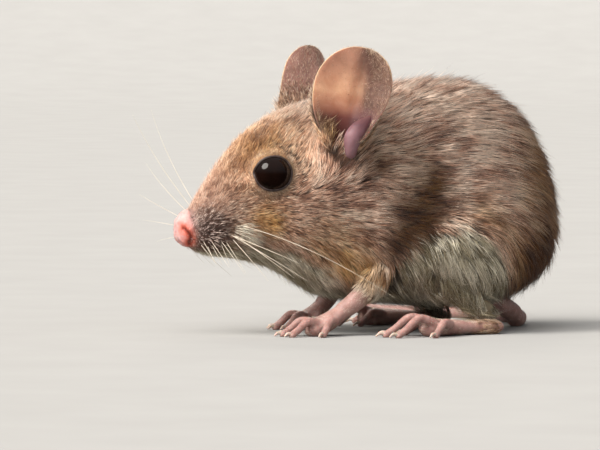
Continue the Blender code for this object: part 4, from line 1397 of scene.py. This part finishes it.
def mottle(tree, value, low, high, ends=SOFT):
    """Two colours that flow into each other over a noise."""
    return ramp(tree, value, ((ends[0], low), (ends[1], high)))


def grey_ramp(tree, value, start, end, low=0.0, high=1.0):
    """A grey that goes from low to high between two values."""
    return ramp(tree, value, ((start, grey(low)), (end, grey(high))))


def math_node(tree, operation, *values):
    return new_node(tree, "ShaderNodeMath", dict(enumerate(values)), operation=operation).outputs[0]


def grain(tree, scale, detail=3.0, distortion=0.0):
    """Noise over the object's own places, in cells of 1 / scale metres."""
    place = new_node(tree, "ShaderNodeTexCoord").outputs["Object"]
    values = {"Vector": place, "Scale": scale, "Detail": detail, "Distortion": distortion}
    return new_node(tree, "ShaderNodeTexNoise", values).outputs[0]


def blank(name, **sockets):
    """A Principled material: its node tree and shader, with constants set on the shader's own sockets."""
    material = bpy.data.materials.new(name)
    material.use_nodes = True
    shader = material.node_tree.nodes["Principled BSDF"]
    for key, value in sockets.items():
        shader.inputs[key.replace("_", " ")].default_value = value
    return material, material.node_tree, shader


def mottled(name, scale, low, high, ends=SOFT, **sockets):
    """A Principled material of one softly mottled colour."""
    material, tree, shader = blank(name, **sockets)
    tree.links.new(mottle(tree, grain(tree, scale), low, high, ends), shader.inputs["Base Color"])
    return material


def add_bump(tree, shader, height, distance, strength=1.0):
    values = {"Height": height, "Distance": distance, "Strength": strength}
    tree.links.new(new_node(tree, "ShaderNodeBump", values).outputs[0], shader.inputs["Normal"])


def grey(value):
    return (value, value, value)


def parts_of(tree, name):
    """The four numbers of that attribute."""
    node = new_node(tree, "ShaderNodeAttribute", attribute_name=name)
    split = new_node(tree, "ShaderNodeSeparateColor", {0: node.outputs["Color"]})
    return (*split.outputs, node.outputs["Alpha"])


# a hair's colour from the darkest tone to the lightest, for each marking
BROWN_STOPS = (
    (0.0, (0.13, 0.055, 0.036)), (0.3, (0.42, 0.215, 0.14)),
    (0.58, (0.80, 0.49, 0.35)), (1.0, (1.0, 0.80, 0.65)),
)
WARM_STOPS = ((0.0, (0.25, 0.10, 0.025)), (0.5, (0.66, 0.33, 0.095)), (1.0, (0.95, 0.62, 0.26)))
WHITE_STOPS = ((0.0, (0.185, 0.144, 0.08)), (0.45, (0.44, 0.375, 0.24)), (1.0, (1.0, 0.93, 0.765)))
PAD_STOPS = ((0.0, (0.022, 0.011, 0.009)), (0.45, (0.17, 0.08, 0.065)), (1.0, (1.0, 0.78, 0.70)))
# the dark marks as a darkening: mostly painted shade, olive-brown in cast
DARK_AND_SHADE_STOPS = ((0.0, grey(1.0)), (1.0, (0.22, 0.135, 0.045)))
ROOT_SLATE, DARK_TIP = (0.052, 0.035, 0.025), (0.03, 0.02, 0.015)
ROOT_STOPS = ((0.0, grey(1.0)), (0.3, grey(0.8)), (0.62, grey(0.0)))
FLESH_RADIUS, EAR_RADIUS = (1.0, 0.35, 0.25), (1.0, 0.42, 0.26)
# bare pink skin of feet, digits and tail, darkened overall as painted shade
SHADED_FOOT_PINK = (0.28, 0.155, 0.135), (0.42, 0.255, 0.225)
NOSE_PINK = (0.53, 0.285, 0.265), (0.62, 0.405, 0.39)
NOSTRIL_FLUSH, NOSTRIL_PIT = (0.60, 0.105, 0.05), (0.19, 0.022, 0.014)
TAIL_RINGS = 900.0  # in radians for the length of the tail
# the ear's colours; the hollow's orange front is a painted glow of light shining through the ear
GLOWING_HOLLOW_LOW = (0.60, 0.31, 0.18), (0.74, 0.45, 0.28)
GLOWING_HOLLOW_HIGH = (0.38, 0.20, 0.13), (0.50, 0.28, 0.19)
EAR_REAR = (0.10, 0.05, 0.037), (0.17, 0.095, 0.073)
EAR_MAUVE = (0.34, 0.18, 0.19), (0.46, 0.27, 0.29)
EAR_BACK = (0.26, 0.14, 0.11), (0.38, 0.22, 0.18)
FOLD_MAUVE = (0.15, 0.07, 0.08), (0.22, 0.115, 0.13)
EAR_EDGE, EAR_FURRED = (0.62, 0.42, 0.27), (0.16, 0.085, 0.055)
# painted shade that deepens down into the foot of the ear's hollow, by height
EAR_FOOT_SHADE_STOPS = (
    (0.1, (0.10, 0.04, 0.06)), (0.27, (0.20, 0.10, 0.13)), (0.38, (0.58, 0.46, 0.48)), (0.54, grey(1.0)),
)


def marked_colour(tree, marks, tone):
    """The coat's colour at its tips, from its markings, painted shade among them, and a tone from 0 to 1."""
    white, dark, warm, pad = marks
    colour = mixed(tree, warm, ramp(tree, tone, BROWN_STOPS), ramp(tree, tone, WARM_STOPS))
    colour = mixed(tree, 1.0, colour, ramp(tree, dark, DARK_AND_SHADE_STOPS), "MULTIPLY")
    colour = mixed(tree, pad, colour, ramp(tree, tone, PAD_STOPS))
    return mixed(tree, white, colour, ramp(tree, tone, WHITE_STOPS))


def coat_material():
    material, tree, shader = blank("coat", Roughness=0.5, Sheen_Weight=0.12, Sheen_Roughness=0.45)
    shader.inputs["Specular IOR Level"].default_value = 0.35
    along, tone, root_dark, tip_dark = parts_of(tree, "hair")
    clouds = math_node(tree, "MULTIPLY_ADD", grain(tree, 260.0), 0.5, -0.25)
    tone = math_node(tree, "ADD", tone, clouds)
    colour = marked_colour(tree, parts_of(tree, "marks"), tone)
    root = ramp(tree, along, ROOT_STOPS)
    colour = mixed(tree, math_node(tree, "MULTIPLY", root, root_dark), colour, ROOT_SLATE)
    tip = grey_ramp(tree, along, 0.55, 0.8)
    colour = mixed(tree, math_node(tree, "MULTIPLY", tip, tip_dark), colour, DARK_TIP)
    tree.links.new(colour, shader.inputs["Base Color"])
    return material


def skin_material():
    material, tree, shader = blank("skin", Roughness=0.5, Subsurface_Weight=0.35, Subsurface_Scale=0.0012)
    shader.inputs["Subsurface Radius"].default_value = FLESH_RADIUS
    covered, nose, ringed, along = parts_of(tree, "place")
    spots = grain(tree, 900.0, 4.0)
    # bare skin: its pink darkened as painted shade
    bare = mottle(tree, spots, *SHADED_FOOT_PINK)
    bare = mixed(tree, nose, bare, mottle(tree, grain(tree, 700.0), *NOSE_PINK, (0.35, 0.65)))
    pit, flush, _, _ = parts_of(tree, "nostril")
    bare = mixed(tree, flush, bare, NOSTRIL_FLUSH)
    bare = mixed(tree, pit, bare, NOSTRIL_PIT)
    under = marked_colour(tree, parts_of(tree, "marks"), math_node(tree, "MULTIPLY", spots, 0.6))
    under = mixed(tree, 0.55, under, ROOT_SLATE)
    tree.links.new(mixed(tree, covered, bare, under), shader.inputs["Base Color"])
    fine = grain(tree, 3800.0, 2.0)
    wave = math_node(tree, "SINE", math_node(tree, "MULTIPLY", along, TAIL_RINGS))
    wave = math_node(tree, "MULTIPLY", wave, ringed)
    height = math_node(tree, "ADD", fine, math_node(tree, "MULTIPLY", wave, 0.6))
    add_bump(tree, shader, height, 0.00009, 0.7)
    return material


def ear_material():
    material, tree, shader = blank("ear", Roughness=0.6, Subsurface_Weight=0.4, Subsurface_Scale=0.0012)
    shader.inputs["Subsurface Radius"].default_value = EAR_RADIUS
    rear_half, share, rim, back = parts_of(tree, "place")
    veined = grain(tree, 420.0, 3.0, 0.6)
    # the hollow's front: a painted glow of light shining through the ear
    low, high = mottle(tree, veined, *GLOWING_HOLLOW_LOW), mottle(tree, veined, *GLOWING_HOLLOW_HIGH)
    front = mixed(tree, grey_ramp(tree, share, 0.5, 0.85), low, high)
    colour = mixed(tree, rear_half, front, mottle(tree, grain(tree, 1500.0, 4.0), *EAR_REAR))
    lower_rear = grey_ramp(tree, share, 0.22, 0.42, 1.0, 0.0)
    mauve = mottle(tree, veined, *EAR_MAUVE)
    colour = mixed(tree, math_node(tree, "MULTIPLY", lower_rear, rear_half), colour, mauve)
    # painted shade low in the ear's hollow
    colour = mixed(tree, 1.0, colour, ramp(tree, share, EAR_FOOT_SHADE_STOPS), "MULTIPLY")
    colour = mixed(tree, back, colour, mottle(tree, veined, *EAR_BACK))
    colour = mixed(tree, rim, colour, EAR_EDGE)
    fold, furred, _, _ = parts_of(tree, "fold")
    colour = mixed(tree, furred, colour, EAR_FURRED)
    colour = mixed(tree, fold, colour, mottle(tree, veined, *FOLD_MAUVE))
    tree.links.new(colour, shader.inputs["Base Color"])
    add_bump(tree, shader, grain(tree, 3000.0, 3.0), 0.00006, 0.6)
    return material


def lid_material():
    low, high = (0.022, 0.014, 0.013), (0.075, 0.05, 0.045)
    material = mottled("lids", 1500.0, low, high, (0.35, 0.7), Roughness=0.42)
    tree = material.node_tree
    add_bump(tree, tree.nodes["Principled BSDF"], grain(tree, 4000.0), 0.00005)
    return material


def eye_material():
    return mottled("eye", 500.0, (0.003, 0.0015, 0.001), (0.008, 0.003, 0.002), Roughness=0.08, IOR=1.33)


def horn_material():
    sockets = {"Roughness": 0.35, "Subsurface_Weight": 0.3, "Subsurface_Scale": 0.0005}
    return mottled("claw", 1800.0, (0.42, 0.32, 0.26), (0.56, 0.46, 0.39), **sockets)


def whisker_material():
    return mottled("whisker", 300.0, (0.62, 0.52, 0.40), (0.78, 0.70, 0.58), Roughness=0.3)


def floor_material():
    low, high = (0.345, 0.34, 0.33), (0.36, 0.355, 0.345)
    return mottled("studio floor", 60.0, low, high, Roughness=1.0, Specular_IOR_Level=0.0)


# ---- colour of the coat, skin and ears ------------------------------------------------------------------
BARE_KINDS = ("paw", "foot", "finger", "toe", "tail")  # limbs with sparse white hairs over bare skin
# the heel's hairs: brown hair with painted shade
WHITE_HAIR, HEEL_SHADE_MARKS = (1.0, 0.0, 0.0, 0.0), (0.25, 0.45, 0.25, 0.0)
ARM_PALE_FROM, ARM_PALE_TO = 0.25, 0.6  # along the arm
TONE_HAIR, TONE_LOCK, TONE_STREAK, TONE_CLOUD = 0.21, 0.22, 0.42, 0.2
BORDER_REACH, BORDER_LIMIT = 3.1, 0.54
DOT_INNER, DOT_OUTER, DOT_TONE = 0.16, 0.3, 0.02  # the dark rings round the whiskers' roots
PAD_FROM, PAD_LOCK_LIMIT, PAD_PALE, PAD_DARK = 0.3, 0.6, 0.95, 0.05
FAN_REACH, FAN_LIMIT = 1.8, -0.1  # the white hairs over the lip
TIP_DARK_SHARE = 0.15
NOSTRIL_REACHES, CLEFT_REACH = (0.34, 0.95), 0.2  # of the nostril's pit and of the flush round it; the cleft


def attribute(mesh, name, values):
    layer = mesh.attributes.new(name, "FLOAT_COLOR", "POINT")
    layer.data.foreach_set("color", values.astype(np.float32).ravel())


def hair_marks(seen, roots, kinds):
    """Markings of each hair: the body's own, white feet and tail, and arms and heels that pale downward; the
    heels' darker hair is partly painted shade.
    """
    marks = markings(seen)
    arm, heel = kinds == "arm", kinds == "foot"
    pale = smoothstep(ARM_PALE_FROM, ARM_PALE_TO, near_line(roots[arm])[3])
    pale = np.maximum(pale, smoothstep(-2.4, -0.8, roots[arm, 1]) * smoothstep(9.6, 8.2, roots[arm, 2]))
    marks[arm] = np.stack([0.85 * pale, 0.15 * (1 - pale), 0.6 * (1 - pale), 0 * pale], axis=1)
    marks[np.isin(kinds, BARE_KINDS)] = WHITE_HAIR
    along = near_line(roots[heel])[3] + 0.08 * noise(roots[heel], 0.6, 74)
    hairy = 1 - smoothstep(0.5 * HEEL_COAT_TO, HEEL_COAT_TO, along)
    marks[heel] = marks[heel] + (np.array(HEEL_SHADE_MARKS) - marks[heel]) * hairy[:, None]
    return marks


def hair_tone(roots, lock_tone, rng):
    """How light each hair is, from 0 to 1: by hair, by lock, in streaks, in broad soft areas, and painted
    light and shade.
    """
    _, y, z = roots.T
    streaks = noise(roots * (1.0, 0.4, 0.8), 0.9, 71)
    streaks = streaks + 0.5 * noise(roots * (1.0, 0.35, 0.9), 1.9, 73) * smoothstep(-6, 2, y)
    bold = np.interp(y, (-18, -6), (0.55, 1.0))
    tone = 0.5 + TONE_HAIR * rng.normal(0, 1, len(roots))
    tone = tone + bold * (TONE_LOCK * lock_tone + TONE_STREAK * streaks)
    tone = tone + TONE_CLOUD * noise(roots, 2.6, 72)
    # painted light along the top of the back, and painted shade towards the rump
    painted_top_light = smoothstep(24, 35, z) * (1 - smoothstep(12, 24, y))
    tone += 0.26 * painted_top_light + 0.1 * bell(y + 11, 9) - 0.12 * smoothstep(16, 24, y)
    return np.clip(tone + patches(roots, TONE_AND_LIGHT_PLACES), 0, 1)


def strew_white(seen, limb, lock_tone, tone, marks, rng):
    """White hairs strewn over the border of the underside."""
    likely = bell(apart(mirrored(seen), WHITE_BORDER), BORDER_REACH) * (limb < 0)
    streaky = likely * (0.55 + 0.35 * lock_tone + 0.3 * rng.normal(0, 1, len(seen))) > BORDER_LIMIT
    marks[streaky] = WHITE_HAIR
    return np.where(streaky, 1.0, tone)


def dotted_by_whiskers(roots, limb):
    """How much each hair stands in a dark ring round a whisker's root."""
    near_pad = np.flatnonzero((roots[:, 1] < -20.5) & (limb < 0))
    away = apart(roots[near_pad, None, 1:], follicles()[None]).min(axis=1)
    dotted = np.zeros(len(roots))
    dotted[near_pad] = 1 - smoothstep(DOT_INNER, DOT_OUTER, away)
    return dotted


def hair_facts(path, roots, limb, lock_tone, rng):
    """Tone, dark root and dark tip of each hair, and its markings."""
    seen, kinds = path[:, 1:].mean(axis=1), LINE_KINDS[limb]
    count, furry = len(roots), ~np.isin(kinds, BARE_KINDS)
    marks = hair_marks(seen, roots, kinds)
    tone = hair_tone(roots, lock_tone, rng)
    tone = strew_white(seen, limb, lock_tone, tone, marks, rng)
    dotted = dotted_by_whiskers(roots, limb)
    tone = tone * (1 - dotted) + dotted * DOT_TONE
    pad = marks[:, 3] > PAD_FROM
    pale_lock = 0.55 * lock_tone + 0.7 * rng.normal(0, 1, count) > PAD_LOCK_LIMIT
    spiky = np.where(pale_lock, PAD_PALE, PAD_DARK) + 0.1 * rng.random(count)
    tone = np.where(pad & (dotted < 0.5), spiky, tone)
    fan = apart(mirrored(roots), PAD_FAN) < FAN_REACH
    fan = fan & (lock_tone + 0.6 * rng.normal(0, 1, count) > FAN_LIMIT)
    tone = np.where(fan, 1.0, tone)
    marks[fan] = WHITE_HAIR
    root_dark = np.interp(roots[:, 1], (-27, -22, -14), (0.3, 0.6, 1.0)) * furry * (1 - 0.7 * fan)
    root_dark = np.where(pad & ~fan, np.where(pale_lock, 0.15, 1.0), root_dark)
    tip_dark = (rng.random(count) < TIP_DARK_SHARE) * (1 - marks[:, 0]) * furry
    return np.stack([tone, root_dark, tip_dark], axis=1), marks


def colour_skin(obj):
    """Facts that colour the skin: covered by coat, nose, ringed, place along; nostrils; markings."""
    co = points_of(obj.data)
    x, y, z = co.T
    ratio, kind, _, share = near_line(co)
    names = LINE_KINDS[np.where(ratio < 1.5, kind, -1)]
    haired = smoothstep(-27.6, -26.0, y)
    haired = np.where(np.isin(names, BARE_KINDS), 0.0, haired)
    haired = np.where(names == "arm", 1 - smoothstep(0.35, 0.65, share), haired)
    nose = 1 - smoothstep(-28.0, -26.6, y)
    tail, digit = (names == "tail").astype(float), np.isin(names, ("finger", "toe")) * 0.7
    ringed = share * (tail + 0.14 * digit)
    attribute(obj.data, "place", np.stack([haired, nose, tail + digit, ringed], axis=1))
    line, near = laid_on(NOSTRIL, co), y < -24
    away = np.zeros(len(co))
    away[near] = apart(mirrored(co[near])[:, None], line[None]).min(axis=1)
    pit, flush = (np.where(near, bell(away, reach), 0) for reach in NOSTRIL_REACHES)
    cleft = bell(x, CLEFT_REACH) * smoothstep(15.7, 15.1, z) * near
    attribute(obj.data, "nostril", np.stack([np.maximum(pit, 0.4 * cleft), flush, nose, nose], axis=1))
    attribute(obj.data, "marks", markings(co))


def colour_ear(obj, side):
    """Facts that colour the ear: rear half, height, rim and back; the fold and the furred foot."""
    co = points_of(obj.data) / MM - OFFSET
    base, up, _, _, height = ear_frame(side)
    share = (co - base) @ up / height
    shell = EAR_ROWS * 2 * (EAR_COLUMNS + 1)
    turns = np.sin((np.linspace(0, 1, EAR_COLUMNS + 1) - 0.5) * math.pi)
    turn, back = np.zeros(len(co)), np.zeros(len(co))
    turn[:shell] = np.tile(np.concatenate([turns, turns[::-1]]), EAR_ROWS)
    back[:shell] = np.tile(np.repeat((1.0, 0.0), EAR_COLUMNS + 1), EAR_ROWS)
    edge = np.maximum(np.abs(turn), np.clip(share, 0, 1) ** 2)
    rim = smoothstep(0.975, 0.997, np.clip(edge, 0, 1)) * smoothstep(0.3, 0.6, share)
    rim = rim * (1 - 0.85 * smoothstep(0.3, 0.6, turn) * smoothstep(0.88, 0.7, share))
    rear = smoothstep(-0.15, 0.4, turn + 0.25 * smoothstep(0.6, 1.0, share))
    rear[shell:] = 1.0
    furred = smoothstep(0.42, 0.15, share) * np.maximum(back, smoothstep(-0.72, -0.9, turn))
    fold = np.zeros((len(co), 4))
    fold[shell:, 0] = smoothstep(0.34, 0.2, share[shell:])
    fold[:shell, 1] = furred[:shell]
    attribute(obj.data, "fold", fold)
    attribute(obj.data, "place", np.stack([rear, np.clip(share, 0, 1), rim, back], axis=1))


# ---- putting it together --------------------------------------------------------------------------------
def finish_skin(obj):
    """Colours the skin, and takes it to the frame's place and metres."""
    colour_skin(obj)
    obj.data.vertices.foreach_set("co", to_world(points_of(obj.data)).astype(np.float32).ravel())
    obj.data.update()
    obj.data.materials.clear()
    obj.data.materials.append(skin_material())
    obj.data.shade_smooth()


def make_body_coat(skin, coat, rng):
    """The coat's pieces on the body. The shortest hairs run straight from root to tip."""
    path, roots, normals, width, limb, lock_tone = make_coat(skin.data, rng)
    hair, marks = hair_facts(path, roots, limb, lock_tone, rng)
    zones, unwrap = zone_of(roots, limb), np.zeros((len(roots), 2))
    straight = apart(path[:, -1], path[:, 0]) < SPIKE_BELOW
    for name in sorted(set(zones)):
        here = zones == name
        unwrap[here] = unwrapped(roots[here])
        blocks = []
        for chosen, picked in ((straight, path[:, [0, 2]]), (~straight, path)):
            mine = here & chosen
            if mine.any():
                facts = (normals, width, hair, marks, unwrap)
                blocks.append(hair_block(picked[mine], *(fact[mine] for fact in facts)))
        hair_piece(name, blocks, coat)


def make_ear_coat(side, coat, rng):
    parts = [ear_hairs(side, row, rng) for row in EAR_HAIRS]
    places = filled(ear_unwrap(side, np.concatenate([part[0][:, 0] for part in parts])))
    ends = np.cumsum([len(part[0]) for part in parts])[:-1]
    blocks = [hair_block(*part, some) for part, some in zip(parts, np.split(places, ends))]
    hair_piece(f"coat_ear_{side}", blocks, coat)


def build():
    rng = np.random.default_rng(SEED)
    skin = make_skin()
    coat = coat_material()
    make_body_coat(skin, coat, rng)
    for side in SIDES:
        make_ear_coat(side, coat, rng)

    finish_skin(skin)
    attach(skin, "root")
    flesh = [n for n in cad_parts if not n.startswith(("eye_", "ear_"))]
    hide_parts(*flesh)
    lid = lid_material()
    for side in SIDES:
        piece = mesh_object(f"lids_{side}", *lid_ring(side), lid)
        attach(piece, "root")
    for side in SIDES:
        eye = mesh_object(f"eyeball_{side}", *eye_ball(side), eye_material())
        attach(eye, "root")
        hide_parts(f"eye_{side}")
        ear = mesh_object(f"ear_shell_{side}", *together([ear_mesh(side), ear_fold(side)]), ear_material())
        colour_ear(ear, side)
        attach(ear, "root")
        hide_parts(f"ear_{side}")
    for name, made, material, slot in (
        ("whiskers", whiskers(), whisker_material(), "coat"),
        ("claws", claws(), horn_material(), "bare_skin"),
    ):
        piece = mesh_object(name, *made, material)
        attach(piece, "root")


# ---- studio ---------------------------------------------------------------------------------------------
VIEW_AZIMUTH, VIEW_ELEVATION = 70.0, 2.5
VIEW_DISTANCE, VIEW_LENS, SENSOR, CLIP_START = 0.8, 321.8, 36.0, 0.01
VIEW_ALONG, VIEW_HEIGHT = -8.94, 15.9  # the middle of the view from the body's middle, in millimetres
FLOOR_FLAT, FLOOR_RISE = 1.5, 35.0  # level out to there, then curving up by so many degrees
FLOOR_SIDES, FLOOR_RINGS = 96, 12
WORLD_STOPS = ((0.0, grey(0.02)), (0.5, grey(0.05)), (0.7, (0.72, 0.73, 0.76)), (1.0, (0.96, 0.98, 1.0)))
WORLD_STRENGTH = 0.5
# each light's direction as right, up and towards the camera; strength; width in degrees; colour
SUNS = (
    ("key", (-0.656, 0.656, 0.345), 3.7, 34.0, (1.0, 0.95, 0.88)),
    ("fill", (-0.35, 0.72, 0.60), 3.4, 60.0, (1.0, 0.97, 0.94)),
    ("rim", (-0.1, 0.62, -0.78), 0.9, 30.0, (1.0, 0.92, 0.8)),
)


def directions():
    """Right, up and towards the camera, in the camera's view."""
    a, e = math.radians(VIEW_AZIMUTH), math.radians(VIEW_ELEVATION)
    right = Vector((math.cos(a), math.sin(a), 0))
    back = Vector((math.sin(a) * math.cos(e), -math.cos(a) * math.cos(e), math.sin(e)))
    return right, Vector((0, 0, 1)), back


def make_camera():
    right, _, back = directions()
    target = Vector(to_world((0, 0, VIEW_HEIGHT))) + right * VIEW_ALONG * MM
    camera = linked("camera", bpy.data.cameras.new("camera"))
    camera.location = target + back * VIEW_DISTANCE
    camera.rotation_euler = (target - camera.location).to_track_quat("-Z", "Y").to_euler()
    camera.data.lens, camera.data.sensor_width = VIEW_LENS, SENSOR
    camera.data.clip_start = CLIP_START
    bpy.context.scene.camera = camera


def make_world():
    world = bpy.data.worlds.new("studio")
    bpy.context.scene.world = world
    world.use_nodes = True
    tree = world.node_tree
    direction = new_node(tree, "ShaderNodeTexCoord").outputs["Generated"]
    height = new_node(tree, "ShaderNodeSeparateXYZ", {0: direction}).outputs[2]
    sky = ramp(tree, math_node(tree, "MULTIPLY_ADD", height, 0.5, 0.5), WORLD_STOPS)
    tree.links.new(sky, tree.nodes["Background"].inputs[0])
    tree.nodes["Background"].inputs[1].default_value = WORLD_STRENGTH


def make_suns():
    """Soft lights. The fill doesn't show as a highlight."""
    for name, direction, strength, softness, colour in SUNS:
        data = bpy.data.lights.new(name, "SUN")
        data.energy, data.angle, data.color = strength, math.radians(softness), colour
        obj = linked(name, data)
        source = sum((way * share for way, share in zip(directions(), direction)), Vector())
        obj.rotation_euler = source.to_track_quat("Z", "Y").to_euler()
        obj.visible_glossy = name != "fill"


def make_floor():
    """A level round floor that curves up at its edge."""
    turns = np.arange(FLOOR_SIDES) * 2 * math.pi / FLOOR_SIDES
    points, faces = [], [tuple(range(FLOOR_SIDES))]
    for angle in np.linspace(0, math.radians(FLOOR_RISE), FLOOR_RINGS):
        reach, height = FLOOR_FLAT * (1 + math.sin(angle)), FLOOR_FLAT * (1 - math.cos(angle))
        points += [(reach * math.cos(t), reach * math.sin(t), height) for t in turns]
    for near in range(0, (FLOOR_RINGS - 1) * FLOOR_SIDES, FLOOR_SIDES):
        far = near + FLOOR_SIDES
        for j in range(FLOOR_SIDES):
            k = (j + 1) % FLOOR_SIDES
            faces.append((near + j, far + j, far + k, near + k))
    mesh = bpy.data.meshes.new("floor")
    mesh.from_pydata(points, [], faces)
    mesh.shade_smooth()
    mesh.materials.append(floor_material())
    floor = linked("floor", mesh)
    floor.visible_glossy = False


build()
make_camera()
make_world()
make_suns()
make_floor()
bpy.context.scene.view_settings.view_transform = "Standard"
